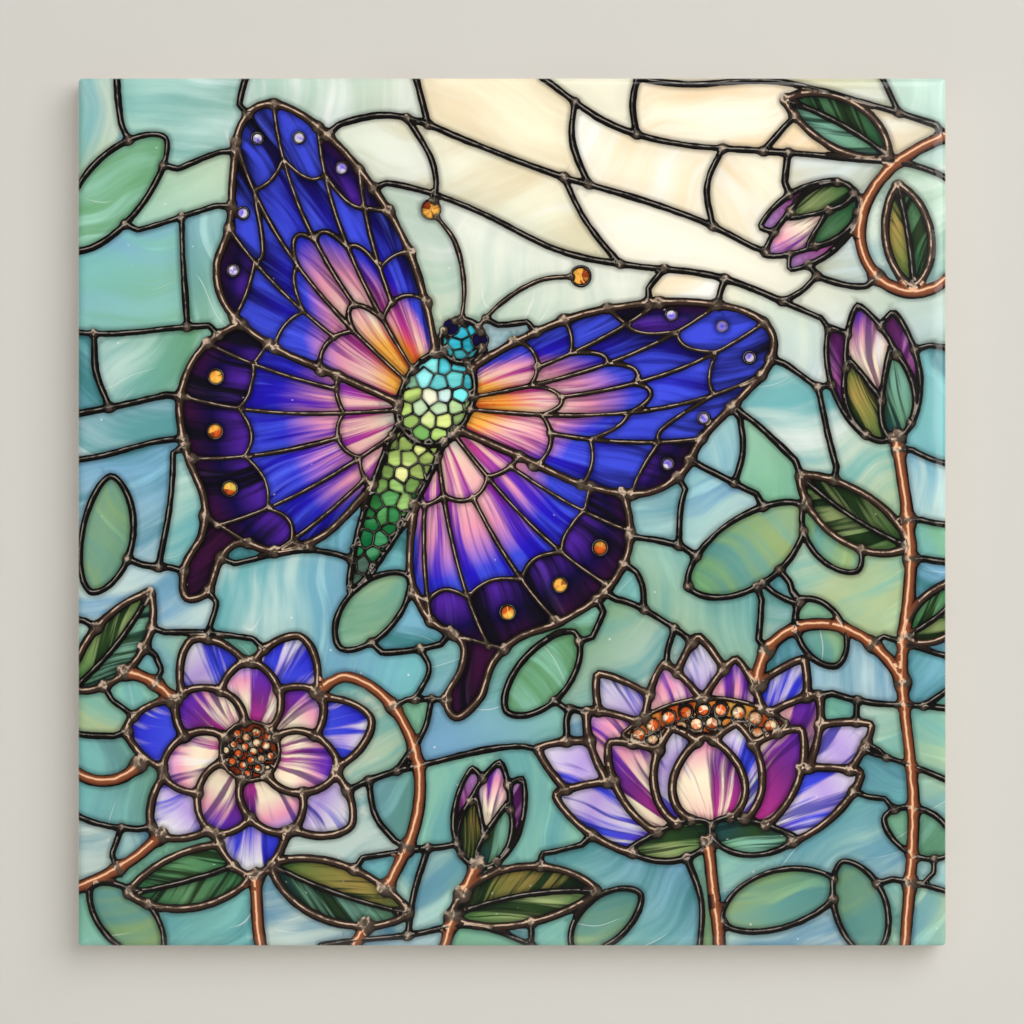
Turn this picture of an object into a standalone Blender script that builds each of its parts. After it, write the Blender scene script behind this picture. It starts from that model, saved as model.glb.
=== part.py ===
"""A square glazed ceramic wall tile, pressed in one piece, with eased front edges and a ribbed back.

Metres, +Z up. The tile stands upright as it does on a wall: its printed face looks along -Y, and the
flat tops of the ribs on its back lie in the plane Y = 0. The origin is the centre of that back.
"""

import math

import bmesh
import bpy
from mathutils import Matrix

MM = 0.001

# The pressed body
SIDE = 152.4 * MM
THICKNESS = 6.4 * MM
CORNER_RADIUS = 0.7 * MM
CORNER_STEPS = 4

# The eased edge round the front, a quarter of an ellipse in section
EASE_WIDTH = 1.6 * MM
EASE_DROP = 0.9 * MM
EASE_STEPS = 6

# The small chamfer that the die leaves round the back
BACK_CHAMFER = 0.4 * MM

# The sunk squares in the back, which leave a border and a lattice of ribs for the adhesive to key to.
# As many fit as the border allows, an even number each way, so that two ribs cross at the centre.
SQUARE_WIDTH = 11.0 * MM
RIB_WIDTH = 3.2 * MM
LEAST_BORDER = 5.5 * MM
RECESS_DEPTH = 0.8 * MM
RECESS_DRAFT = math.radians(25)
RECESS_CORNER = 1.6 * MM
RECESS_CORNER_STEPS = 2

# How far a cutter reaches out of the surface that it cuts
CUTTER_REACH = 1.0 * MM
# The least corner radius of a ring, so that every ring keeps the same number of points
LEAST_RADIUS = 0.02 * MM

GLAZE_COLOUR = (0.36, 0.60, 0.58, 1.0)
GLAZE_ROUGHNESS = 0.15


def clear_scene():
    """Removes whatever the file holds."""
    for thing in list(bpy.data.objects):
        bpy.data.objects.remove(thing)


def new_collection(name):
    """Returns a new collection, linked to the scene."""
    made = bpy.data.collections.new(name)
    bpy.context.scene.collection.children.link(made)
    return made


def glaze_material():
    """Returns the plain glaze colour that stands for the printed and glazed surface."""
    made = bpy.data.materials.new("glazed_print")
    made.use_nodes = True
    shader = made.node_tree.nodes["Principled BSDF"]
    shader.inputs["Base Color"].default_value = GLAZE_COLOUR
    shader.inputs["Roughness"].default_value = GLAZE_ROUGHNESS
    shader.inputs["Metallic"].default_value = 0.0
    return made


def ring_points(inset, y):
    """Returns the points of the outline, drawn in by inset, in the plane at y."""
    half = SIDE / 2 - inset
    radius = max(CORNER_RADIUS - inset, LEAST_RADIUS)
    centre = half - radius
    points = []
    for corner in range(4):
        start = corner * math.pi / 2
        middle = start + math.pi / 4
        along = math.sqrt(2) * centre
        for step in range(CORNER_STEPS + 1):
            angle = start + step / CORNER_STEPS * math.pi / 2
            x = along * math.cos(middle) + radius * math.cos(angle)
            z = along * math.sin(middle) + radius * math.sin(angle)
            points.append((x, y, z))
    return points


def body_sections():
    """Returns (inset, y) of each ring of the body, from its back to its printed face."""
    front = -THICKNESS
    sections = [(BACK_CHAMFER, 0.0), (0.0, -BACK_CHAMFER)]
    for step in range(EASE_STEPS + 1):
        angle = step / EASE_STEPS * math.pi / 2
        inset = EASE_WIDTH * (1 - math.cos(angle))
        drop = EASE_DROP * (1 - math.sin(angle))
        sections.append((inset, front + drop))
    return sections


def add_ring(mesh, points):
    """Adds a closed ring of edges through the points, and returns the edges."""
    corners = [mesh.verts.new(p) for p in points]
    return [mesh.edges.new((corners[i - 1], corners[i])) for i in range(len(corners))]


def make_body(collection):
    """Returns the pressed body, lofted through its rings and closed at both ends."""
    mesh = bmesh.new()
    rings = [add_ring(mesh, ring_points(inset, y)) for inset, y in body_sections()]
    for lower, upper in zip(rings, rings[1:]):
        bmesh.ops.bridge_loops(mesh, edges=lower + upper)
    for end in (rings[0], rings[-1]):
        bmesh.ops.contextual_create(mesh, geom=end)
    bmesh.ops.recalc_face_normals(mesh, faces=mesh.faces)
    data = bpy.data.meshes.new("ceramic_tile")
    mesh.to_mesh(data)
    mesh.free()
    tile = bpy.data.objects.new("ceramic_tile", data)
    collection.objects.link(tile)
    data.materials.append(glaze_material())
    data.shade_smooth()
    data.set_sharp_from_angle(angle=math.radians(30))
    return tile


def squares_each_way():
    """Returns how many sunk squares fit side by side, an even number."""
    field = SIDE - 2 * LEAST_BORDER + RIB_WIDTH
    return 2 * math.floor(field / (SQUARE_WIDTH + RIB_WIDTH) / 2)


def make_recess_cutter(collection):
    """Returns the cutter for the sunk squares: one tapered block, repeated across the back."""
    depth = RECESS_DEPTH + CUTTER_REACH
    floor_half = SQUARE_WIDTH / 2 - RECESS_DEPTH * math.tan(RECESS_DRAFT)
    top_half = SQUARE_WIDTH / 2 + CUTTER_REACH * math.tan(RECESS_DRAFT)
    mesh = bmesh.new()
    bmesh.ops.create_cone(
        mesh,
        cap_ends=True,
        segments=4,
        radius1=floor_half * math.sqrt(2),
        radius2=top_half * math.sqrt(2),
        depth=depth,
        matrix=Matrix.Rotation(math.radians(45), 4, "Z"),
    )
    slanting = [e for e in mesh.edges if abs(e.verts[0].co.z - e.verts[1].co.z) > depth / 2]
    bmesh.ops.bevel(
        mesh,
        geom=slanting,
        offset=min(RECESS_CORNER, floor_half / 2),
        segments=RECESS_CORNER_STEPS,
        profile=0.5,
        affect="EDGES",
    )
    # The block's narrow end turns from -Z to -Y, into the body
    mesh.transform(Matrix.Rotation(math.radians(-90), 4, "X"))
    data = bpy.data.meshes.new("recess_cutter")
    mesh.to_mesh(data)
    mesh.free()
    cutter = bpy.data.objects.new("recess_cutter", data)
    collection.objects.link(cutter)
    pitch = SQUARE_WIDTH + RIB_WIDTH
    first = -(squares_each_way() - 1) / 2 * pitch
    cutter.location = (first, (CUTTER_REACH - RECESS_DEPTH) / 2, first)
    for name, direction in (("columns", (1, 0, 0)), ("rows", (0, 0, 1))):
        array = cutter.modifiers.new(name, "ARRAY")
        array.count = squares_each_way()
        array.use_relative_offset = False
        array.use_constant_offset = True
        array.constant_offset_displace = [pitch * share for share in direction]
    cutter.hide_render = True
    cutter.display_type = "WIRE"
    return cutter


def sink_squares(tile, cutter):
    """Cuts the sunk squares out of the tile's back."""
    cut = tile.modifiers.new("sunk_squares", "BOOLEAN")
    cut.operation = "DIFFERENCE"
    cut.solver = "EXACT"
    cut.object = cutter


def main():
    """Builds the tile and its cutter."""
    clear_scene()
    tile = make_body(new_collection("ceramic_tile"))
    cutter = make_recess_cutter(new_collection("cutters"))
    sink_squares(tile, cutter)


main()
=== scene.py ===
"""Dresses a square ceramic tile: a leaded-glass style picture printed under glaze, on a bisque body.

The frame is in metres, +Z up. The printed face looks along -Y and the back lies in the plane Y = 0.
The picture is drawn in millimetres, across to the right and up, from the middle of the tile.
"""

import logging
import math
from abc import ABC, abstractmethod
from collections.abc import Sequence
from dataclasses import dataclass, field, replace
from enum import Enum
from typing import NamedTuple

import bmesh
import bpy
import numpy as np
from mathutils import Matrix, Vector
from mathutils.geometry import delaunay_2d_cdt
from mathutils.kdtree import KDTree


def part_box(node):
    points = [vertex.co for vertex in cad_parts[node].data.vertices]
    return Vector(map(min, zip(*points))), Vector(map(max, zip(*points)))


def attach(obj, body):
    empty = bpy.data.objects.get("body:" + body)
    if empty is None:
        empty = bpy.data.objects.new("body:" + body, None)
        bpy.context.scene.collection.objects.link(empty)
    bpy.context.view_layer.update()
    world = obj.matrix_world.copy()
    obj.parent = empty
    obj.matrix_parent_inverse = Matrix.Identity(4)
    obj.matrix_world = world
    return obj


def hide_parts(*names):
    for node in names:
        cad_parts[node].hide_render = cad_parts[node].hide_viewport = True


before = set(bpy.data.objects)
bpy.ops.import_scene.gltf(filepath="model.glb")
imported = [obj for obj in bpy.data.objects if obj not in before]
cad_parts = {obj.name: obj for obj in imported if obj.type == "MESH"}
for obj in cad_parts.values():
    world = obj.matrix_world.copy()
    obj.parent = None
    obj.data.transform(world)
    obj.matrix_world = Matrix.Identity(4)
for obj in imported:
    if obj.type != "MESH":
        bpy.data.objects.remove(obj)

LOG = logging.getLogger("ceramic_tile")

Array = np.ndarray
Draws = np.random.Generator

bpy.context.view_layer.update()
TILE_LOW, TILE_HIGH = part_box("ceramic_tile")

MM = 0.001
SIDE = (TILE_HIGH[0] - TILE_LOW[0]) / MM
THICKNESS = (TILE_HIGH[1] - TILE_LOW[1]) / MM
HALF = SIDE / 2

# The pressed shape, in millimetres, as on the solid
CORNER_RADIUS = 0.7
EASE_WIDTH = 1.6
EASE_DROP = 0.9
EASE_STEPS = 7
BACK_CHAMFER = 0.4

# How finely the picture is drawn, in millimetres
LINE_SPACING = 0.62
FILL_SPACING = 1.35
RING_SPACING = 0.6

# The height of a row of a staggered grid, as a share of its spacing
ROW_HEIGHT = 0.87

SEED = 7


class Tint(Enum):
    """A colour of glass or metal in the picture: red, green and blue, out of 255."""

    WHITE = (250, 250, 244)
    CREAM = (253, 240, 208)
    PEACH = (244, 208, 164)
    SAND = (180, 198, 150)
    MIST = (204, 224, 216)
    SEAFOAM = (144, 203, 182)
    AQUA = (120, 190, 194)
    SKY = (126, 176, 210)
    SAGE = (110, 166, 114)
    TEAL = (72, 138, 144)
    DEEP_TEAL = (40, 92, 100)
    TURQUOISE = (24, 160, 182)
    CYAN = (110, 214, 216)
    EMERALD = (8, 116, 62)
    LEAF = (66, 132, 62)
    FERN = (168, 184, 122)
    LIME = (206, 232, 128)
    MOSS = (54, 86, 42)
    PINE = (12, 40, 32)
    ROYAL = (36, 22, 196)
    COBALT = (64, 78, 226)
    INDIGO = (20, 12, 84)
    VIOLET = (98, 44, 190)
    PURPLE = (118, 42, 128)
    PLUM = (70, 20, 66)
    LILAC = (186, 158, 226)
    MAGENTA = (196, 54, 146)
    PINK = (244, 158, 186)
    BLUSH = (252, 208, 190)
    ORANGE = (240, 104, 36)
    AMBER = (252, 184, 78)
    OCHRE = (186, 160, 84)
    RUST = (150, 58, 24)
    NIGHT = (16, 12, 26)

    @property
    def linear(self) -> Array:
        """The colour as light, from 0 to 1."""
        share = np.array(self.value) / 255
        return np.where(share <= 0.04045, share / 12.92, ((share + 0.055) / 1.055) ** 2.4)


@dataclass(frozen=True)
class Came:
    """A kind of lead line: its width in millimetres, and how coppery it is."""

    width: float
    copper: float

    @property
    def half(self) -> float:
        """Half the width."""
        return self.width / 2


class Lead(Enum):
    """The kinds of lead line in the picture."""

    HAIR = Came(0.38, 0.1)
    FINE = Came(0.86, 0.36)
    THIN = Came(1.16, 0.1)
    BRONZE = Came(1.5, 0.55)
    COPPER = Came(2.15, 1.0)


# A line with its kind of lead, and a run of colours
Seam = tuple[Array, Lead]
Stops = Sequence[tuple[float, Tint]]


# Drawing in the plane of the picture


def resampled(line: Array, spacing: float = LINE_SPACING) -> Array:
    """Spaces a line's points evenly.

    Args:
        line: The line's points.
        spacing: The distance wanted between points.

    Returns:
        The same line, with its ends kept.
    """
    along = np.concatenate([[0.0], np.cumsum(lengths(np.diff(line, axis=0)))])
    count = max(2, int(round(along[-1] / spacing)) + 1)
    where = np.linspace(0.0, along[-1], count)
    return np.column_stack([np.interp(where, along, line[:, axis]) for axis in (0, 1)])


def smooth(points: list | Array, closed: bool = False) -> Array:
    """Draws a smooth curve through points.

    Args:
        points: The points that the curve passes through.
        closed: Whether the curve comes back to its start.

    Returns:
        Evenly spaced points. A closed curve ends on the point that it starts from.
    """
    given = np.asarray(points, float)
    if closed:
        padded = np.vstack([given[-1:], given, given[:2]])
    else:
        padded = np.vstack([2 * given[0] - given[1], given, 2 * given[-1] - given[-2]])
    share = np.linspace(0.0, 1.0, 20, endpoint=False)[:, None]
    spans = []
    for before, start, end, after in zip(padded, padded[1:], padded[2:], padded[3:]):
        linear = (end - before) * share
        square = (2 * before - 5 * start + 4 * end - after) * share**2
        cubic = (3 * start - 3 * end + after - before) * share**3
        spans.append(0.5 * (2 * start + linear + square + cubic))
    spans.append(padded[-2:-1])
    return resampled(np.vstack(spans))


def inside(points: Array, outline: Array) -> Array:
    """Says which points lie inside a closed outline.

    Args:
        points: The points to test.
        outline: The closed outline.

    Returns:
        True for each point inside.
    """
    found = np.zeros(len(points), bool)
    near = ((points >= outline.min(axis=0)) & (points <= outline.max(axis=0))).all(axis=1)
    if not near.any():
        return found
    x, y = points[near][:, :1], points[near][:, 1:]
    (ax, ay), (bx, by) = outline[:-1].T, outline[1:].T
    level = np.where(by == ay, 1.0, by - ay)
    crosses = ((ay > y) != (by > y)) & (x < ax + (y - ay) / level * (bx - ax))
    found[near] = crosses.sum(axis=1) % 2 == 1
    return found


def within(line: Array, outline: Array) -> list[Array]:
    """Cuts a line to a closed outline.

    Args:
        line: The line's points.
        outline: The closed outline.

    Returns:
        The stretches inside the outline, each carried on by one point, so that it reaches the lead.
    """
    kept = np.flatnonzero(inside(line, outline))
    if not len(kept):
        return []
    stretches = np.split(kept, np.flatnonzero(np.diff(kept) > 1) + 1)
    return [line[max(part[0] - 1, 0) : part[-1] + 2] for part in stretches]


def direction(degrees: float) -> Array:
    """A unit step in a direction, counted from the right, anticlockwise."""
    return np.array([math.cos(math.radians(degrees)), math.sin(math.radians(degrees))])


def lengths(rows: Array) -> Array:
    """The length of each row."""
    return np.linalg.norm(rows, axis=-1)


def unit(rows: Array) -> Array:
    """A row of length 1 in the direction of each row."""
    return rows / np.maximum(lengths(rows), 1e-6)[:, None]


def left(step: Array) -> Array:
    """A step, or each of many, turned a quarter anticlockwise."""
    return step[..., ::-1] * (-1, 1)


def steps(angles: Array) -> Array:
    """Unit steps at angles in radians, counted as in direction."""
    return np.column_stack([np.cos(angles), np.sin(angles)])


def ring(middle: Array, radius: float, count: int = 22) -> Array:
    """A closed round outline."""
    return middle + radius * steps(np.linspace(0.0, 2 * math.pi, count))


def staggered(low: Array, high: Array, spacing: float) -> Array:
    """Points over a box, with every other row set half a step aside.

    Args:
        low: The box's low corner.
        high: Its high corner.
        spacing: The distance between points.

    Returns:
        The points, row by row.
    """
    made = []
    for row, y in enumerate(np.arange(low[1], high[1], spacing * ROW_HEIGHT)):
        made += [(x, y) for x in np.arange(low[0] + row % 2 * spacing / 2, high[0], spacing)]
    return np.array(made)


def blend(stops: Stops, share: Array) -> Array:
    """Reads a run of colours.

    Args:
        stops: Each colour and the share at which it stands, in order.
        share: Where to read, any number of values.

    Returns:
        One row of red, green and blue for each value.
    """
    places = [place for place, _ in stops]
    colours = np.array([tint.linear for _, tint in stops])
    return np.column_stack([np.interp(share, places, colours[:, k]) for k in range(3)])


@dataclass(frozen=True)
class Place:
    """Where a figure stands in the picture, how it is turned, and its size."""

    middle: tuple[float, float]
    turn: float = 0.0
    size: float = 1.0
    mirrored: bool = False

    def put(self, points: list | Array) -> Array:
        """Moves a figure's own points to their place in the picture.

        Args:
            points: Points in the figure's own millimetres.

        Returns:
            The same points in the picture.
        """
        own = np.atleast_2d(np.asarray(points, float)) * self.size
        if self.mirrored:
            own = own * (-1.0, 1.0)
        right, up = direction(self.turn), direction(self.turn + 90)
        return np.array(self.middle) + own[:, :1] * right + own[:, 1:] * up


# Glass


class Pane(NamedTuple):
    """A pane to colour: its corners and its middle in the picture, and its own random draws."""

    points: Array
    centre: Array
    chance: Draws


class Painted(NamedTuple):
    """What a pane's corners get. Streaks run along the first streak coordinate, in millimetres."""

    light: Array
    deep: Array
    streak: Array


class Glass(ABC):
    """A rule for the colours and the streaks of a pane."""

    # How far, in millimetres, the painted shade beside a pane's leads reaches
    rim: float = 1.6
    contrast: float = 0.0

    @abstractmethod
    def paint(self, pane: Pane) -> Painted:
        """Colours one pane.

        Args:
            pane: The pane.

        Returns:
            Its colours and streaks.
        """


@dataclass
class GroundGlass(Glass):
    """Pale cloudy glass behind the figures: a warm glow near the top, deepening downwards."""

    rim: float = 1.25
    families: tuple[tuple[Tint, Tint], ...] = (
        (Tint.MIST, Tint.AQUA),
        (Tint.MIST, Tint.SKY),
        (Tint.SEAFOAM, Tint.AQUA),
        (Tint.SKY, Tint.TEAL),
        (Tint.AQUA, Tint.SKY),
        (Tint.SEAFOAM, Tint.SAGE),
        (Tint.AQUA, Tint.TEAL),
        (Tint.SAGE, Tint.SEAFOAM),
        (Tint.SAND, Tint.SEAFOAM),
    )
    # Each glow's middle, its size across and up, and its strength
    glows: tuple = (((16, 72), (47, 29), 1.3), ((36, 44), (20, 24), 0.7))

    def glow(self, points: Array) -> Array:
        """How warm and bright the ground is at each point."""
        away = [(strength, ((points - middle) / size) ** 2) for middle, size, strength in self.glows]
        return np.clip(sum(strength * np.exp(-square.sum(axis=1)) for strength, square in away), 0, 1)

    def paint(self, pane: Pane) -> Painted:
        """Colours one pane of the ground.

        Args:
            pane: The pane.

        Returns:
            Its colours and streaks.
        """
        points, centre, chance = pane
        axis = direction(chance.normal(10, 20) if chance.uniform() < 0.55 else chance.normal(100, 22))
        along = (points - centre) @ axis
        across = (points - centre) @ left(axis)
        sweep = direction(chance.uniform(0, 360))
        share = np.clip(0.5 + (points - centre) @ sweep / 22, 0, 1)[:, None]
        picks = chance.integers(len(self.families), size=2)
        (one, one_deep), (two, two_deep) = (self.families[pick] for pick in picks)
        light = one.linear * (1 - share) + two.linear * share
        deep = one_deep.linear * (1 - share) + two_deep.linear * share
        spread = 0.5 * points + 0.5 * centre
        depth = np.clip(0.42 - spread[:, 1] / 230 + chance.uniform(-0.22, 0.2), 0, 1)[:, None]
        light = light * (1.18 - 0.4 * depth)
        deep = deep * (1.08 - 0.6 * depth) + Tint.DEEP_TEAL.linear * depth * 0.36
        pale = np.clip((spread[:, 1] - 5) / 70, 0, 1) * np.clip((spread[:, 0] + 72) / 20, 0.2, 1)
        pale = (pale * chance.uniform(0.3, 0.75))[:, None]
        light = light + (Tint.MIST.linear * 1.1 - light) * pale
        deep = deep + (Tint.SEAFOAM.linear * 1.1 - deep) * pale * 0.7
        warm = self.glow(spread)
        warm = np.clip(warm * chance.uniform(0.9, 1.25) - 0.06, 0, 1)[:, None]
        cream = blend([(0, Tint.WHITE), (1, Tint.CREAM)], np.array([chance.uniform(0, 1)]))
        sandy = [(0, Tint.WHITE), (0.4, Tint.CREAM), (1, Tint.PEACH)]
        sandy = blend(sandy, np.array([chance.uniform(0, 0.8)]))
        light = light + (cream * 1.12 - light) * warm
        deep = deep + (sandy * 1.08 - deep) * warm
        return Painted(light, deep, np.column_stack([along, across * 0.55]))


@dataclass
class RayGlass(Glass):
    """Glass whose streaks spread from a hub, with its colours set by the share of the way out."""

    hub: Array
    reach: float
    light: Stops
    deep: Stops
    rim: float = 1.3
    vary: float = 0.12
    contrast: float = 1.0

    def share(self, points: Array) -> Array:
        """How far out each point lies, from 0 at the hub to 1 at the reach."""
        return lengths(points - self.hub) / self.reach

    def paint(self, pane: Pane) -> Painted:
        """Colours one pane of a petal or wing.

        Args:
            pane: The pane.

        Returns:
            Its colours and streaks.
        """
        points, centre, chance = pane
        share = self.share(points) + chance.uniform(-0.05, 0.05)
        bright = 1 + chance.uniform(-self.vary, self.vary)
        away = points - self.hub
        middle = centre - self.hub
        angle = np.arctan2(away[:, 1], away[:, 0]) - math.atan2(middle[1], middle[0])
        angle = (angle + math.pi) % (2 * math.pi) - math.pi
        streak = np.column_stack([lengths(away), angle * self.reach * 0.62])
        return Painted(blend(self.light, share) * bright, blend(self.deep, share) * bright, streak)


@dataclass
class LeafGlass(Glass):
    """Striated green glass whose streaks slant away from a midrib."""

    root: Array
    axis: Array
    rim: float = 1.2
    contrast: float = 1.0
    families: tuple[tuple[Tint, Tint, Tint], ...] = (
        (Tint.LEAF, Tint.FERN, Tint.PINE),
        (Tint.LEAF, Tint.FERN, Tint.PINE),
        (Tint.LEAF, Tint.OCHRE, Tint.PINE),
        (Tint.SAGE, Tint.SEAFOAM, Tint.DEEP_TEAL),
        (Tint.EMERALD, Tint.SAGE, Tint.PINE),
    )

    def paint(self, pane: Pane) -> Painted:
        """Colours one half of a leaf.

        Args:
            pane: The pane.

        Returns:
            Its colours and streaks.
        """
        points, centre, chance = pane
        side = 1.0 if (centre - self.root) @ left(self.axis) > 0 else -1.0
        vein = self.axis * 0.86 + left(self.axis) * side * 0.5
        own = points - self.root
        streak = np.column_stack([own @ vein, own @ left(vein) * 1.5])
        away = lengths(own)
        side_light, top_light, dark = self.families[chance.integers(len(self.families))]
        light = blend([(0, side_light), (0.6, top_light), (1, side_light)], away / (away.max() + 1))
        deep = blend([(0, dark), (0.5, Tint.MOSS), (1, dark)], away / (away.max() + 1))
        bright = chance.uniform(0.45, 0.9)
        return Painted(light * bright, deep * bright * 0.75, streak)


@dataclass
class MosaicGlass(Glass):
    """Small bright chips, each of one colour, that change along the figure."""

    root: Array
    axis: Array
    length: float
    width: float
    stops: Stops
    rim: float = 0.5

    def paint(self, pane: Pane) -> Painted:
        """Colours one chip, brightest along the middle of the figure.

        Args:
            pane: The pane.

        Returns:
            Its colours and streaks.
        """
        points, centre, chance = pane
        away = centre - self.root
        share = away @ self.axis / self.length
        side = (away[0] * self.axis[1] - away[1] * self.axis[0]) / self.width
        tint = blend(self.stops, np.array([share + chance.uniform(-0.09, 0.09)]))[0]
        lit = max(1.3 - 1.25 * side**2, 0.15) * chance.uniform(0.75, 1.25)
        glint = np.clip(tint * lit * 1.5 + 0.16 * max(lit - 0.9, 0), 0, 1)
        light, deep = (np.tile(shade, (len(points), 1)) for shade in (glint, tint * lit * 0.7))
        return Painted(light, deep, points - centre)


# What the picture is drawn from


@dataclass
class Patch:
    """A closed part of a figure. It hides whatever was drawn before it."""

    outline: Array
    glass: Glass
    lead: Lead = Lead.BRONZE
    seams: list[Seam] = field(default_factory=list)

    def lines(self) -> list[Seam]:
        """The outline, and every seam as far as it lies inside."""
        inner = [(part, lead) for seam, lead in self.seams for part in within(seam, self.outline)]
        return [(self.outline, self.lead), *inner]


@dataclass
class Rod:
    """An open line, such as a stem or a feeler. It hides nothing."""

    line: Array
    lead: Lead = Lead.COPPER

    def lines(self) -> list[Seam]:
        """The one line."""
        return [(self.line, self.lead)]


@dataclass
class Fan:
    """Cells that spread from a hub to an outline, with veins that bend slightly."""

    hub: Array
    outline: Array
    first: Array
    last: Array
    swirl: float = 0.0
    cap: float = math.inf

    def __post_init__(self) -> None:
        """Works out how far the outline reaches in every direction between first and last."""
        start, end = self.first - self.hub, self.last - self.hub
        self.start = math.atan2(start[1], start[0])
        turn = math.atan2(end[1], end[0]) - self.start
        self.turn = (turn + math.pi) % (2 * math.pi) - math.pi
        away = self.outline - self.hub
        self.size = lengths(away).max()
        self.swirl = math.copysign(self.swirl, -self.turn)
        across, out = self.spread(self.outline)
        samples = np.linspace(-0.2, 1.2, 140)
        reaches = np.array([self.far(value, across, out) for value in samples])
        self.samples = samples[reaches > 0]
        self.reaches = np.minimum(reaches[reaches > 0], self.cap)

    def spread(self, points: Array) -> tuple[Array, Array]:
        """Reads points in the fan's own terms.

        Args:
            points: Points in the picture.

        Returns:
            The share across the fan, and the distance out, of each point.
        """
        away = points - self.hub
        out = lengths(away)
        angle = np.arctan2(away[:, 1], away[:, 0]) - self.swirl * (out / self.size) ** 2
        across = (angle - self.start + math.pi) % (2 * math.pi) - math.pi
        return across / self.turn, out

    def far(self, value: float, across: Array, out: Array) -> float:
        """Finds the farthest crossing of the outline with one ray of the fan.

        Args:
            value: The ray's share across the fan.
            across: The outline's shares.
            out: Its distances.

        Returns:
            The distance, or 0 where the ray misses the outline.
        """
        before, after = across[:-1], across[1:]
        step = after - before
        near = ((before - value) * (after - value) <= 0) & (np.abs(step) < 0.5) & (step != 0)
        if not near.any():
            return 0.0
        share = (value - before[near]) / step[near]
        return float((out[:-1][near] + share * (out[1:][near] - out[:-1][near])).max())

    def at(self, across: Array, out: Array) -> Array:
        """Finds points by their place in the fan.

        Args:
            across: Shares across the fan.
            out: Shares of the way out.

        Returns:
            The points in the picture.
        """
        distance = out * np.interp(across, self.samples, self.reaches)
        angle = self.start + across * self.turn + self.swirl * (distance / self.size) ** 2
        return self.hub + distance[:, None] * steps(angle)

    def vein(self, across: float, begin: float, end: float = 1.0) -> Array:
        """A line from the hub's side out to the outline."""
        out = np.linspace(begin, end, 40)
        return resampled(self.at(np.full(len(out), across), out))

    def bar_level(
        self, across: Array, nodes: Sequence[float], level: float, bulge: float
    ) -> Array:
        """How far out a bar runs, as a share of the way.

        Args:
            across: The shares across the fan to read.
            nodes: The shares across the fan where the bar dips.
            level: The share of the way out at which it runs.
            bulge: How much farther out it swings between two nodes.

        Returns:
            The share at each place. Beyond the second node from each end the bar keeps its distance
            from the hub.
        """
        cell = np.clip(np.searchsorted(nodes, across, side="right") - 1, 0, len(nodes) - 2)
        left, right = np.array(nodes)[cell], np.array(nodes)[cell + 1]
        share = (across - left) / (right - left)
        steady = np.interp(np.clip(across, nodes[1], nodes[-2]), self.samples, self.reaches)
        drift = steady / np.interp(across, self.samples, self.reaches)
        return (level + bulge * 4 * share * (1 - share)) * drift

    def bar(self, nodes: Sequence[float], level: float, bulge: float) -> Array:
        """A line across the fan that bulges outwards, or inwards below 0, between its nodes."""
        across = np.linspace(nodes[0], nodes[-1], 30 * len(nodes))
        return resampled(self.at(across, self.bar_level(across, nodes, level, bulge)))

    def web(self, veins: Sequence[float], inner: float, outer: float) -> list[Seam]:
        """Draws the seams of a wing.

        Args:
            veins: The shares across the fan where its veins run.
            inner: The share of the way out of the inner bar. Every other vein starts there.
            outer: The share of the way out of the outer bar.

        Returns:
            The seams, over more than the wing's outline.
        """
        bulge = 0.045
        nodes = [-0.2, *veins, 1.2]
        lines = [self.bar(nodes[::2], inner, bulge), self.bar(nodes, outer, -bulge)]
        starts = self.bar_level(np.array(veins), nodes[::2], inner, bulge)
        for index, (vein, start) in enumerate(zip(veins, starts)):
            lines.append(self.vein(vein, 0.1 if index % 2 else start))
        return [(line, Lead.FINE) for line in lines]


@dataclass
class WingGlass(RayGlass):
    """Wing glass, whose colours follow the fan's shares, with a night-dark border."""

    fan: Fan | None = None
    border: float = 0.8
    contrast: float = 0.55

    def share(self, points: Array) -> Array:
        """How far out each point lies, from 0 at the hub to 1 at the wing's edge."""
        across, out = self.fan.spread(points)
        return out / np.maximum(np.interp(across, self.fan.samples, self.fan.reaches), 1.0)

    def paint(self, pane: Pane) -> Painted:
        """Colours one pane of a wing.

        Args:
            pane: The pane.

        Returns:
            Its colours and streaks.
        """
        light, deep, streak = super().paint(pane)
        if self.share(pane.centre[None])[0] > self.border:
            away = np.clip((self.share(pane.points) - self.border) / (1 - self.border), 0, 1)
            light = blend([(0, Tint.VIOLET), (0.5, Tint.INDIGO), (1, Tint.PLUM)], away) * 0.7
            deep = np.tile(Tint.NIGHT.linear, (len(pane.points), 1))
        return Painted(light, deep, streak)


@dataclass(frozen=True)
class Spots:
    """Round jewels, one between each two nodes across a wing, at a level on the way out."""

    nodes: tuple[float, ...]
    level: float
    size: float
    reach: float
    light: Stops
    deep: Stops


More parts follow.
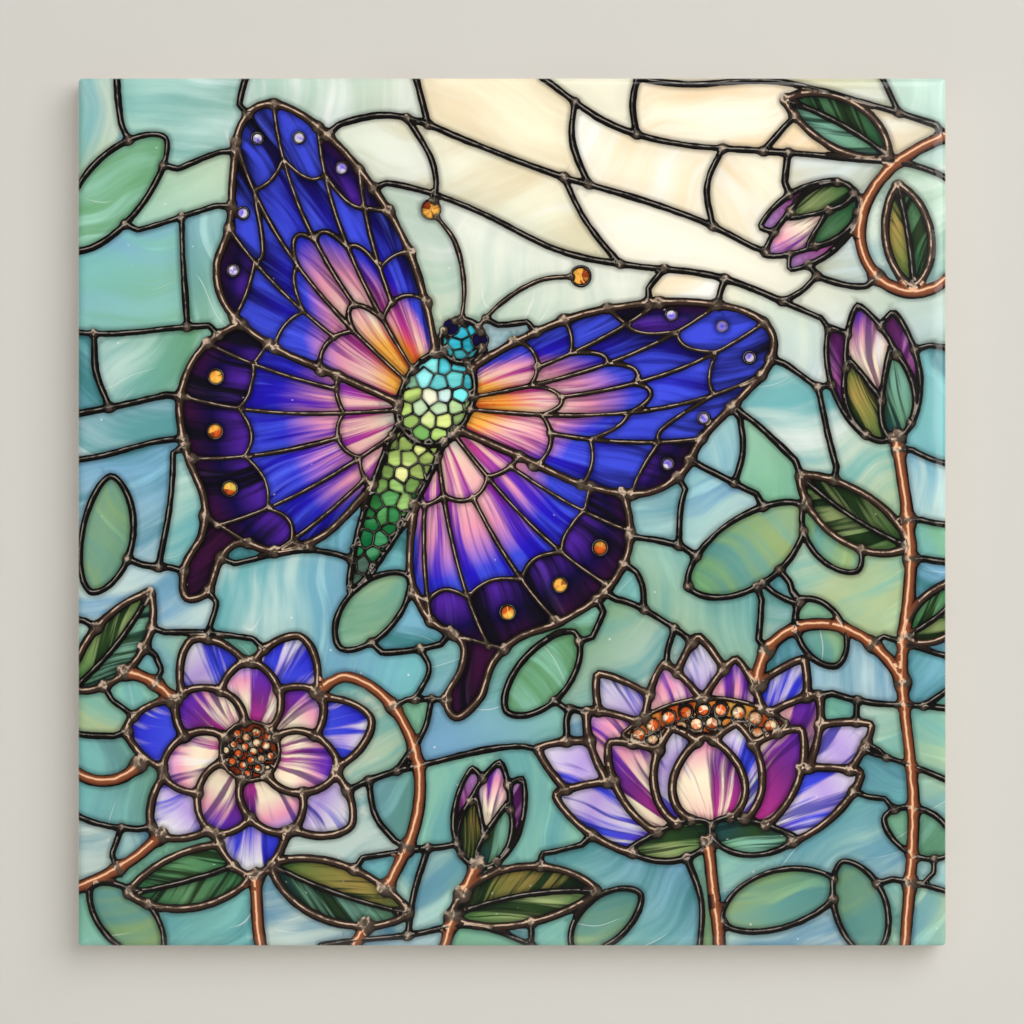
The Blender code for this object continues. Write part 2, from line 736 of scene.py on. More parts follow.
@dataclass(frozen=True)
class Wing:
    """One kind of wing, in the butterfly's own millimetres.

    Its reach gives the hub and a point at each end of its span, and its seams are extra ones.
    """

    outline: tuple
    reach: tuple
    swirl: float
    cap: float
    veins: tuple[float, ...]
    inner: float
    outer: float
    light: Stops
    deep: Stops
    spots: Spots
    middle: float | None = None
    seams: tuple = ()

    def parts(self, place: Place) -> list[Patch]:
        """Draws the wing.

        Args:
            place: Where it stands.

        Returns:
            The wing, then its spots.
        """
        outline = smooth(place.put(self.outline), closed=True)
        hub, first, last = place.put(self.reach)
        fan = Fan(hub, outline, first, last, self.swirl, self.cap * place.size)
        seams = fan.web(self.veins, self.inner, self.outer)
        seams += [(resampled(place.put(seam)), Lead.FINE) for seam in self.seams]
        if self.middle:
            seams.append((fan.bar([-0.2, *self.veins, 1.2], self.middle, 0.035), Lead.FINE))
        glass = WingGlass(fan.hub, fan.size, self.light, self.deep, fan=fan, border=self.outer)
        made = [Patch(outline, glass, Lead.BRONZE, seams)]
        spots, nodes = self.spots, np.array(self.spots.nodes)
        for middle in fan.at((nodes[:-1] + nodes[1:]) / 2, np.full(len(nodes) - 1, spots.level)):
            round_spot = ring(middle, spots.size * place.size)
            made.append(gem(round_spot, spots.reach, spots.light, spots.deep))
        return made


HINDWING = Wing(
    outline=(
        (1.8, 3), (14, 6), (28, 7), (40, 3), (46, -6), (45.5, -16), (40, -25), (33.5, -31.5),
        (31, -38), (31.5, -45), (29, -50.5), (25.5, -48), (25.8, -41), (23.5, -36.5), (16, -35),
        (9.5, -29), (5.5, -19), (2.6, -7),
    ),
    reach=((0, 3), (44, 4), (6, -26)),
    swirl=0.2,
    cap=48,
    veins=(0.2, 0.38, 0.56, 0.77, 0.92),
    inner=0.36,
    outer=0.79,
    light=((0, Tint.CYAN), (0.25, Tint.BLUSH), (0.5, Tint.PINK), (0.66, Tint.COBALT)),
    deep=(
        (0, Tint.EMERALD), (0.25, Tint.MAGENTA), (0.5, Tint.VIOLET), (0.66, Tint.ROYAL),
        (1, Tint.INDIGO),
    ),
    spots=Spots(
        (0.2, 0.38, 0.56, 0.77), 0.89, 1.5, 1.3, ((0, Tint.AMBER),), ((0, Tint.ORANGE), (1, Tint.RUST))
    ),
    seams=(((22, -36), (32, -34.5)),),
)
FOREWING = Wing(
    outline=(
        (1.6, 8), (8, 19), (19, 31), (33, 40), (46, 44.5), (54, 43.5), (56.5, 37.5), (54, 28.5),
        (50.5, 19), (49.5, 10.5), (44, 4.0), (33, 1.0), (20, 1.0), (8, 1.0), (2.2, 1.0),
    ),
    reach=((-1, 3), (28, 38), (46, 1)),
    swirl=0.22,
    cap=90,
    veins=(0.17, 0.32, 0.47, 0.62, 0.78),
    inner=0.34,
    outer=0.85,
    light=((0.24, Tint.AMBER), (0.34, Tint.BLUSH), (0.46, Tint.PINK), (0.58, Tint.COBALT)),
    deep=(
        (0, Tint.RUST), (0.24, Tint.ORANGE), (0.34, Tint.MAGENTA), (0.46, Tint.PURPLE),
        (0.58, Tint.ROYAL), (0.8, Tint.INDIGO), (1, Tint.NIGHT),
    ),
    spots=Spots(
        (0.17, 0.32, 0.47, 0.62, 0.78, 0.98), 0.925, 1.15, 1.0,
        ((0, Tint.LILAC), (1, Tint.WHITE)), ((0, Tint.COBALT), (1, Tint.LILAC)),
    ),
    middle=0.6,
)


@dataclass
class Butterfly:
    """A butterfly with spread wings, seen from above."""

    place: Place
    green: Stops = (
        (0, Tint.LEAF), (0.2, Tint.LIME), (0.42, Tint.LEAF), (0.7, Tint.EMERALD), (1, Tint.PINE),
    )
    blue: Stops = ((0, Tint.TURQUOISE), (0.35, Tint.CYAN), (0.65, Tint.LIME), (1, Tint.LEAF))
    pale: Stops = ((0, Tint.TURQUOISE), (1, Tint.CYAN))

    def body(self, chance: Draws) -> list[Patch | Rod]:
        """Draws the feelers, the mosaic body and the head.

        Args:
            chance: Random draws for the mosaic.

        Returns:
            The parts, from back to front.
        """
        parts: list[Patch | Rod] = []
        size = self.place.size
        for side in (-1, 1):
            feeler = self.place.put([(side * 1.2, 19), (side * 4, 27), (side * 9, 34), (side * 16, 38)])
            parts.append(Rod(smooth(feeler), Lead.FINE))
            knob = ring(feeler[-1], 1.9 * size)
            parts.append(gem(knob, 2.0, [(0, Tint.AMBER)], [(0, Tint.RUST)]))
        belly = [(-3.4, 4), (-4.9, -5), (-4.6, -15), (-3.4, -25), (-1.6, -33), (0, -36)]
        belly += [(-x, y) for x, y in reversed(belly[:-1])]
        chest = [(0, 14.5), (5.0, 11.5), (7.0, 5), (5.2, -2)]
        chest += [(-x, y) for x, y in [(0, -4.5), *reversed(chest[1:])]]
        head = ring(self.place.put([(0, 17)])[0], 4.2 * size)
        for outline, top, length, width, stops, chip in (
            (smooth(self.place.put(belly), closed=True), 1, 37 * size, 5 * size, self.green, 2.7),
            (smooth(self.place.put(chest), closed=True), 14.5, 19 * size, 7 * size, self.blue, 2.8),
            (head, 17, 6, 5, self.pale, 2.4),
        ):
            root = self.place.put([(0, top)])[0]
            glass = MosaicGlass(root, direction(self.place.turn - 90), length, width, stops)
            parts.append(Patch(outline, glass, Lead.THIN, mosaic(outline, chip, chance)))
        for side in (-1, 1):
            eye = self.place.put([(side * 3.1, 18.6)])[0]
            dark = [(0, Tint.NIGHT), (1, Tint.INDIGO)]
            parts.append(gem(ring(eye, 1.6 * size), 1.6, dark, dark))
        return parts

    def parts(self, chance: Draws) -> list[Patch | Rod]:
        """Draws the whole butterfly.

        Args:
            chance: Random draws for the mosaic.

        Returns:
            The parts, from back to front.
        """
        sides = (self.place, replace(self.place, mirrored=True))
        pairs = [(wing, side) for wing in (HINDWING, FOREWING) for side in sides]
        return [*(part for wing, side in pairs for part in wing.parts(side)), *self.body(chance)]


def gem(outline: Array, reach: float, light: Stops, deep: Stops, vary: float = 0.12) -> Patch:
    """A small round jewel of streaky glass."""
    middle = outline[:-1].mean(axis=0)
    return Patch(outline, RayGlass(middle, reach, light, deep, 0.45, vary), Lead.HAIR)


def mosaic(outline: Array, size: float, chance: Draws) -> list[Seam]:
    """Hair-thin seams that part an outline into chips.

    Args:
        outline: The closed outline to part.
        size: The width of a chip.
        chance: Random draws that set the chips slightly out of line.

    Returns:
        The seams, over the outline's whole box.
    """
    low, high = outline.min(axis=0) - 2 * size, outline.max(axis=0) + 2 * size
    sites = staggered(low, high, size)
    sites += chance.uniform(-0.26, 0.26, sites.shape) * size
    return [(resampled(np.array(edge), 0.5), Lead.HAIR) for edge in cell_edges(sites)]


def cell_edges(sites: Array) -> list[tuple[Array, Array]]:
    """Finds the cells round scattered sites.

    Args:
        sites: The sites.

    Returns:
        The ends of each edge that two cells share.
    """
    found = delaunay_2d_cdt([Vector(site) for site in sites], [], [], 0, 1e-5, True)
    corners = np.array([tuple(v) for v in found[0]])
    middles = []
    for face in found[2]:
        a, b, c = corners[list(face)]
        twice = 2 * (a[0] * (b[1] - c[1]) + b[0] * (c[1] - a[1]) + c[0] * (a[1] - b[1]))
        aa, bb, cc = a @ a, b @ b, c @ c
        x = (aa * (b[1] - c[1]) + bb * (c[1] - a[1]) + cc * (a[1] - b[1])) / twice
        y = (aa * (c[0] - b[0]) + bb * (a[0] - c[0]) + cc * (b[0] - a[0])) / twice
        middles.append(np.array([x, y]))
    beside: dict[tuple[int, int], list[int]] = {}
    for index, face in enumerate(found[2]):
        for k in range(3):
            pair = tuple(sorted((face[k - 1], face[k])))
            beside.setdefault(pair, []).append(index)
    return [(middles[two[0]], middles[two[1]]) for two in beside.values() if len(two) == 2]


@dataclass
class Petal:
    """A petal or leaf: a blade from a root, out to a point."""

    root: Array
    heading: float
    length: float
    width: float
    bend: float = 0.0
    fullness: float = 0.55
    point: float = 0.8

    def spine(self, share: Array) -> Array:
        """Points along the middle of the blade, at shares of its length."""
        ahead, aside = direction(self.heading), direction(self.heading + 90)
        return self.root + self.length * (np.outer(share, ahead) + np.outer(self.bend * share**2, aside))

    def outline(self) -> Array:
        """Draws round the blade.

        Returns:
            The closed outline.
        """
        share = (1 - np.cos(np.linspace(0.0, math.pi, 40))) / 2
        spine = self.spine(share)
        widest = self.fullness / (self.fullness + self.point)
        top = widest**self.fullness * (1 - widest) ** self.point
        half = self.width / 2 * share**self.fullness * (1 - share) ** self.point / top
        aside = half[:, None] * left(unit(np.gradient(spine, axis=0)))
        return resampled(np.vstack([spine + aside, (spine - aside)[::-1]]))

    def midrib(self) -> Array:
        """The line along the middle, from the root to the point."""
        return resampled(self.spine(np.linspace(0.0, 1.0, 30)))


def leaf(blade: Petal, lead: Lead = Lead.BRONZE) -> Patch:
    """A striated green leaf, with a lead along its midrib if it is a wide one."""
    seams = [(blade.midrib(), Lead.THIN)] if blade.width > 7 else []
    return Patch(blade.outline(), LeafGlass(blade.root, direction(blade.heading)), lead, seams)


# Each kind of petal's light and deep colours
WARM = (
    ((0, Tint.AMBER), (0.25, Tint.BLUSH), (0.6, Tint.CREAM), (0.85, Tint.PINK), (1, Tint.LILAC)),
    ((0, Tint.MAGENTA), (0.3, Tint.MAGENTA), (0.65, Tint.PURPLE), (1, Tint.VIOLET)),
)
COOL = (
    ((0, Tint.PINK), (0.3, Tint.WHITE), (0.7, Tint.LILAC), (1, Tint.WHITE)),
    ((0, Tint.MAGENTA), (0.3, Tint.VIOLET), (0.6, Tint.COBALT), (1, Tint.ROYAL)),
)
DARK = (
    ((0, Tint.PINK), (0.4, Tint.MAGENTA), (1, Tint.LILAC)),
    ((0, Tint.PLUM), (0.5, Tint.PURPLE), (1, Tint.PLUM)),
)


def petal(
    blade: Petal, hub: Array, reach: float, tints: tuple[Stops, Stops], lead: Lead = Lead.BRONZE
) -> Patch:
    """One petal of streaky glass whose streaks come from the flower's hub."""
    return Patch(blade.outline(), RayGlass(hub, reach, *tints), lead)


def beads(middles: Array, radius: float) -> list[Patch]:
    """Small amber beads."""
    light, deep = [(0, Tint.CREAM), (1, Tint.AMBER)], [(0, Tint.ORANGE), (1, Tint.RUST)]
    return [gem(ring(middle, radius, count=12), radius * 1.4, light, deep, 0.25) for middle in middles]


@dataclass
class WaterLily:
    """A water lily seen from its side, with three rows of pointed petals."""

    root: Array
    size: float
    lean: float = 0.0

    def parts(self) -> list[Patch]:
        """Draws the flower.

        Returns:
            Its parts, from back to front.
        """
        made = self.row((0, 33, -33, 62, -62), 35, 15, 0.0, 5, COOL)
        made += self.row((17, -17, 48, -48), 31, 15, 0.08, 5, WARM)
        made += self.stamens()
        for turns, length, tints in (
            ((84, -84), 29, COOL), ((56, -56), 24, WARM), ((27, -27), 19, COOL), ((0,), 16.5, WARM),
        ):
            made += self.row(turns, length, 13.5, 0.16, 6, tints)
        return made + [leaf(self.blade(turn, 15, 6.5, 0.35), lead=Lead.THIN) for turn in (122, -122)]

    def blade(self, turn: float, length: float, width: float, bend: float) -> Petal:
        """One petal or leaf, at a turn from upright, that bends upwards."""
        sway = math.copysign(bend, -turn) if turn else 0.0
        return Petal(self.root, 90 + self.lean + turn, length * self.size, width * self.size, sway)

    def row(
        self, turns: tuple, length: float, width: float, bend: float, beyond: float, tints: tuple
    ) -> list[Patch]:
        """Draws petals of one kind.

        Args:
            turns: Their turns from upright.
            length: Their length.
            width: Their width.
            bend: How far they bend upwards.
            beyond: How far past their length their colours run.
            tints: Their light and deep colours.

        Returns:
            The petals, in that order.
        """
        hub = self.root - direction(90 + self.lean) * 4 * self.size
        blades = [self.blade(turn, length, width, bend) for turn in turns]
        return [petal(blade, hub, (length + beyond) * self.size, tints) for blade in blades]

    def around(self, turns: Array, reach: float) -> Array:
        """Points on an arc round the root, at turns from upright."""
        return self.root + reach * self.size * steps(np.radians(90 + self.lean + turns))

    def stamens(self) -> list[Patch]:
        """Draws a golden crown with two rows of beads, behind the front petals.

        Returns:
            The crown, then its beads.
        """
        span = np.linspace(-40, 40, 30)
        crown = np.vstack([self.around(span, 23.5), self.around(span[::-1], 11.0)])
        outline = resampled(np.vstack([crown, crown[:1]]))
        gold = [(0, Tint.ORANGE), (0.6, Tint.ORANGE), (1, Tint.AMBER)]
        rust = [(0, Tint.RUST), (0.6, Tint.RUST), (1, Tint.ORANGE)]
        made = [Patch(outline, RayGlass(self.root, 24 * self.size, gold, rust, 0.8), Lead.FINE)]
        outer, inner = np.arange(-35, 36, 8.75), np.arange(-30.6, 31, 8.75)
        spots = np.vstack([self.around(outer, 21.4), self.around(inner, 18.9)])
        return made + beads(spots, 1.3 * self.size)


@dataclass
class Star:
    """An open many-petalled flower, seen from above."""

    middle: Array
    radius: float
    turn: float
    petals: int = 7

    def parts(self) -> list[Patch]:
        """Draws the flower.

        Returns:
            Its parts, from back to front.
        """
        made = []
        for row, (share, tints) in enumerate(((1.0, COOL), (0.68, WARM))):
            for k in range(self.petals):
                heading = self.turn + 360 / self.petals * (k + 0.5 * row)
                length = self.radius * share
                root = self.middle + direction(heading) * self.radius * 0.12
                width = self.radius * 0.60 * share**0.5
                blade = Petal(root, heading, length * 0.88, width, 0.06, 0.5, 0.62)
                made.append(petal(blade, self.middle, length, tints))
        angles = np.arange(19) * 137.5
        spiral = [self.middle + direction(a) * 1.02 * math.sqrt(i + 0.3) for i, a in enumerate(angles)]
        disc = ring(self.middle, self.radius * 0.235)
        dark = [(0, Tint.RUST), (1, Tint.RUST)]
        made.append(Patch(disc, RayGlass(self.middle, 4.0, dark, dark, 0.8), Lead.FINE))
        return made + beads(np.array(spiral), 0.8)


@dataclass
class Bud:
    """A closed bud in its green cup."""

    root: Array
    heading: float
    length: float

    def parts(self) -> list[Patch]:
        """Draws the bud.

        Returns:
            Its parts, from back to front.
        """
        hub = self.root - direction(self.heading) * 2
        made = []
        for turn, share in ((15, 0.92), (-15, 0.92), (0, 1.0)):
            blade = Petal(self.root, self.heading + turn, self.length * share, self.length * 0.42)
            made.append(petal(blade, hub, self.length * 1.1, DARK if turn else WARM, Lead.THIN))
        for turn in (36, -36):
            bend = math.copysign(0.4, -turn)
            blade = Petal(self.root, self.heading + turn, self.length * 0.6, self.length * 0.25, bend)
            made.append(leaf(blade, lead=Lead.THIN))
        return made


def tendril(
    start: tuple, heading: float, length: float, turn_first: float, turn_last: float
) -> Array:
    """A line whose bend changes steadily along it.

    Args:
        start: Where the line begins.
        heading: The direction that it sets out in, in degrees.
        length: Its length in millimetres.
        turn_first: How fast it turns at its start, in degrees a millimetre.
        turn_last: How fast it turns at its end.

    Returns:
        Evenly spaced points.
    """
    count = int(length / 0.3)
    turns = np.linspace(turn_first, turn_last, count) * length / count
    moves = steps(np.radians(heading + np.cumsum(turns))) * length / count
    return resampled(np.vstack([[start], np.array(start) + np.cumsum(moves, axis=0)]))


class Garden:
    """The flowers, leaves and curling stems round the butterfly."""

    def parts(self) -> list[Patch | Rod]:
        """Draws everything but the butterfly and the ground.

        Returns:
            The parts, from back to front.
        """
        round_star = [
            (-28, -77), (-22, -66), (-17, -55), (-16.5, -44), (-21, -34), (-29, -29), (-36, -33),
        ]
        made: list[Patch | Rod] = self.pale_leaves()
        made += [
            Rod(tendril((-77, -66.3), 20, 93, 0.9, 7.5)),
            Rod(tendril((-44, -77), 100, 34, -1.2, 1.4)),
            Rod(smooth(round_star)),
            Rod(smooth([(-12, -77), (-9.5, -69), (-5.5, -61)])),
            Rod(smooth([(69, -77), (70.5, -52), (68.5, -28), (70, -8), (67.5, 14)])),
            Rod(tendril((68.7, -30), 118, 42, 2.0, 7.6)),
            Rod(tendril((77, 66.3), 200, 49, 1.0, 8.0)),
            Rod(tendril((36.5, -77), 94, 21.8, 0.5, -0.5)),
        ]
        for root, *blade in (
            ((-44, -60), 205, 24, 10, -0.15),
            ((-42, -62), -28, 25, 10, 0.15),
            ((-10.5, -71), 24, 25, 10, -0.25),
            ((69, -22), 28, 16, 8, 0.2),
            ((69.5, -6), 158, 22, 9, -0.2),
            ((70.5, 39.5), 93, 18, 8, 0.1),
            ((66, 62.5), 140, 20, 8.5, 0.2),
            ((-77, -31), 40, 21, 9, 0.2),
        ):
            made.append(leaf(Petal(np.array(root, float), *blade, 0.7, 0.75)))
        for root, *bud in (((66.5, 13.0), 104, 24), ((-6.0, -62.0), 78, 18.5), ((60.0, 56.0), 215, 19)):
            made += Bud(np.array(root), *bud).parts()
        made += Star(np.array((-46.0, -42.0)), 22, 12).parts()
        return made + WaterLily(np.array((35.0, -55.0)), 0.95, 4).parts()

    def pale_leaves(self) -> list[Patch]:
        """Scatters leaf-shaped panes of pale green glass through the ground.

        Returns:
            The panes.
        """
        glass = GroundGlass(
            families=((Tint.SEAFOAM, Tint.SAGE), (Tint.FERN, Tint.SEAFOAM), (Tint.SAGE, Tint.TEAL))
        )
        made = []
        for root, *blade in (
            ((-77, 46), 62, 25, 11, -0.2),
            ((-74, -14), 66, 20, 9, 0.25),
            ((-30, -24), 58, 17, 9, -0.2),
            ((-1, -35), 38, 18, 9, 0.2),
            ((31, -13), 24, 24, 12, 0.2),
            ((52, 2), 300, 15, 8, 0.1),
            ((57, -27), 112, 13, 8, 0.1),
            ((37, -72), 28, 21, 10, -0.2),
            ((63, -78), 96, 17, 9, 0.2),
            ((11, -77), 52, 15, 8, -0.2),
            ((-62, -78), 128, 17, 9, 0.1),
            ((77, -60), 140, 13, 8, 0.2),
        ):
            outline = Petal(np.array(root, float), *blade, 0.6, 0.62).outline()
            made.append(Patch(outline, glass, Lead.THIN))
        return made


@dataclass
class Ground:
    """The field behind the figures: long flowing courses, cut across into panes."""

    reach: float = 104.0
    least_course: float = 9.0
    most_course: float = 17.5
    least_pane: float = 15.0
    most_pane: float = 36.0

    def sway(self, points: Array) -> Array:
        """Bends the field, so that its courses flow and tilt.

        Args:
            points: Points of the straight field.

        Returns:
            The bent points.
        """
        x, y = points[:, 0], points[:, 1]
        across = 3.5 * np.sin(y / 17 + 0.6) + 2.5 * np.sin(x / 23 + y / 31)
        up = 6.5 * np.sin(x / 27 + y / 60 + 1.1) + 2.4 * np.sin(x / 12 - y / 25) - 0.13 * x
        return points + np.column_stack([across, up])

    def lines(self, chance: Draws) -> list[Seam]:
        """Draws the seams of the field.

        Args:
            chance: Random draws for its courses and panes.

        Returns:
            The seams.
        """
        x = np.linspace(-self.reach, self.reach, 16)
        level = -self.reach
        courses = []
        while level < self.reach:
            rise = 2.1 * np.sin(x / chance.uniform(10, 20) + chance.uniform(0, 6))
            rise += chance.uniform(-1.6, 1.6, len(x))
            courses.append(smooth(np.column_stack([x, level + rise])))
            level += chance.uniform(self.least_course, self.most_course)
        seams = [(self.sway(course), Lead.THIN) for course in courses]
        overlap = 0.05
        for below, above in zip(courses, courses[1:]):
            at = -self.reach + chance.uniform(0, self.most_pane)
            while at < self.reach - 10:
                lean = chance.uniform(-9, 9)
                foot = (at, np.interp(at, *below.T) - overlap)
                head = (at + lean, np.interp(at + lean, *above.T) + overlap)
                middle = ((foot[0] + head[0]) / 2 + chance.uniform(-2.4, 2.4), (foot[1] + head[1]) / 2)
                seams.append((self.sway(smooth([foot, middle, head])), Lead.THIN))
                at += chance.uniform(self.least_pane, self.most_pane)
        return seams


# From lines to panes


@dataclass
class Covers:
    """Outlines that hide what lies behind them, and the edge of the tile."""

    outlines: list[Array]

    def hide(self, points: Array) -> Array:
        """Which points don't show: those off the tile, and those that an outline hides."""
        off = np.abs(points).max(axis=1) > HALF
        return np.any([off, *(inside(points, outline) for outline in self.outlines)], axis=0)

    def near(self, points: Array) -> "Covers":
        """Only the outlines whose box holds one of the points."""
        return Covers([o for o in self.outlines if len(points) and box_holds(o, points)])

    def crossing(self, seen: Array, unseen: Array) -> Array:
        """Finds where a line goes out of sight.

        Args:
            seen: A point of the line that shows.
            unseen: The next one, which doesn't.

        Returns:
            The point between the two, and a hair beyond it.
        """
        overlap = 0.04
        beyond = (unseen - seen) / max(np.linalg.norm(unseen - seen), 1e-9) * overlap
        covers = self.near(np.vstack([seen, unseen]))
        for _ in range(10):
            middle = (seen + unseen) / 2
            if covers.hide(middle[None])[0]:
                unseen = middle
            else:
                seen = middle
        return np.clip(unseen + beyond, -HALF, HALF)

    def runs(self, line: Array) -> list[Array]:
        """Cuts a line to what shows of it.

        Args:
            line: The line's points.

        Returns:
            The stretches that show.
        """
        hidden = self.near(line).hide(line)
        found = []
        run: list[Array] = []
        for index, point in enumerate(line):
            if hidden[index]:
                if run:
                    found.append([*run, self.crossing(run[-1], point)])
                run = []
                continue
            if not run and index:
                run = [self.crossing(point, line[index - 1])]
            run.append(point)
        if run:
            found.append(run)
        return [np.array(run) for run in found if len(run) > 2]


def box_holds(outline: Array, points: Array) -> bool:
    """Whether an outline's box reaches any of the points."""
    low, high = outline.min(axis=0), outline.max(axis=0)
    return bool(((points >= low) & (points <= high)).all(axis=1).any())


def tree_of(points: Array) -> KDTree:
    """Makes a search tree over points of the picture.

    Args:
        points: The points.

    Returns:
        The tree, balanced, with each point's number.
    """
    tree = KDTree(len(points))
    for index, (x, y) in enumerate(points):
        tree.insert((x, y, 0.0), index)
    tree.balance()
    return tree


def edge_distance(points: Array) -> Array:
    """How far inside the tile's rounded outline points lie, in millimetres."""
    corner = np.abs(points) - (HALF - CORNER_RADIUS)
    return CORNER_RADIUS - lengths(corner.clip(0)) - corner.max(axis=1).clip(max=0)


def outline_ring(inset: float, spacing: float) -> Array:
    """Draws the tile's outline.

    Args:
        inset: How far it is drawn in, in millimetres.
        spacing: The distance between its points.

    Returns:
        The points, without a repeat.
    """
    half = HALF - inset
    radius = max(CORNER_RADIUS - inset, 0.02)
    count = max(1, round((half - radius) * 2 / spacing))
    points = []
    for corner in range(4):
        turn = direction(90 * corner), direction(90 * corner + 90)
        middle = (turn[0] + turn[1]) * (half - radius)
        points += [middle + direction(90 * corner + 22.5 * step) * radius for step in range(5)]
        start, side = middle + turn[1] * radius, turn[0] * (half - radius) * 2
        points += [start - side * step / count for step in range(1, count)]
    return np.array(points)


@dataclass
class LeadField:
    """Measures how far any point is from the leads and from the solder at their joints."""

    lines: list[Seam]
    joints: list[tuple[Array, float]]
    reach: int = 14
    far: float = 99.0
    most_level: float = 4.0
    solder_copper: float = 0.36
    solder_blend: float = 0.5
    # Where two leads are equally near, to within the tie, the way across turns to the shadow
    tie: float = 0.12
    shadow: tuple[float, float] = (0.51, -0.86)

    def __post_init__(self) -> None:
        """Lays every line's points out in one table."""
        counts = [len(line) for line, _ in self.lines]
        ends = np.cumsum(counts)
        self.points = np.vstack([line for line, _ in self.lines])
        self.half = np.repeat([lead.value.half for _, lead in self.lines], counts)
        self.copper = np.repeat([lead.value.copper for _, lead in self.lines], counts)
        self.owner = np.repeat(np.arange(len(counts)), counts)
        self.after = np.arange(ends[-1]) + 1
        self.after[ends - 1] -= 1
        self.before = np.arange(ends[-1]) - 1
        self.before[ends - counts] += 1
        self.tree = tree_of(self.points)
        self.drops = np.array([middle for middle, _ in self.joints])
        self.drop_radii = np.array([radius for _, radius in self.joints])
        self.drop_tree = tree_of(self.drops)

    def clear(self, points: Array) -> Array:
        """The distance from each point to the nearest line."""
        return np.array([self.tree.find((x, y, 0.0))[2] for x, y in points])

    def segment(
        self, points: Array, start: Array, end: Array
    ) -> tuple[Array, Array]:
        """Measures the way to segments.

        Args:
            points: Points in the picture.
            start: For each, the numbers where segments start.
            end: The numbers where they end.

        Returns:
            The distances, and the nearest points on the segments.
        """
        a, b = self.points[start], self.points[end]
        span = b - a
        length = (span**2).sum(axis=2)
        share = ((points[:, None] - a) * span).sum(axis=2) / np.where(length == 0, 1.0, length)
        nearest = a + np.clip(share, 0, 1)[:, :, None] * span
        return lengths(points[:, None] - nearest), nearest

    def measure(self, points: Array) -> tuple[Array, ...]:
        """Measures the leads.

        Args:
            points: Points in the picture.

        Returns:
            The distance to the lead's edge (below 0 on the lead), the level (0 along its middle, 1
            at its edge), the way across it (a vector as long as the level, then 1 on solder and 0
            off it), and how coppery it is.
        """
        rows = np.arange(len(points))
        places = np.column_stack([points, np.zeros(len(points))])
        table = np.array([[hit[1] for hit in self.tree.find_n(p, self.reach)] for p in places])
        forward, forward_on = self.segment(points, table, self.after[table])
        backward, backward_on = self.segment(points, table, self.before[table])
        closer = backward < forward
        distance = np.where(closer, backward, forward)
        nearest = np.where(closer[:, :, None], backward_on, forward_on)
        edge = distance - self.half[table]
        owner = self.owner[table]
        best = edge.argmin(axis=1)
        first = edge[rows, best]
        other = np.where(owner == owner[rows, best][:, None], self.far, edge).min(axis=1)
        half = self.half[table][rows, best]
        joined = soft_least(first, other, half)
        away = unit(points - nearest[rows, best])
        lit = (np.abs(first - other) < self.tie) & (away @ self.shadow < 0)
        away[lit] *= -1
        copper = self.copper[table][rows, best]
        index = [self.drop_tree.find(p)[1] for p in places]
        out, radius = points - self.drops[index], self.drop_radii[index]
        solder = lengths(out) - radius
        total = soft_least(joined, solder, half)
        weight = np.clip((first - solder) / self.solder_blend + 0.5, 0, 1)
        size = half * (1 - weight) + radius * weight
        level = np.clip(1 + total / size, 0, self.most_level)
        copper += (self.solder_copper - copper) * weight
        weight = weight[:, None]
        facing = away * (1 - weight) + unit(out) * weight
        return total, level, np.column_stack([facing * level[:, None], weight]), copper


def soft_least(a: Array, b: Array, width: Array) -> Array:
    """The lesser of two distances, rounded where they meet."""
    share = np.maximum(width - np.abs(a - b), 0) / width
    return np.minimum(a, b) - share**2 * width / 4


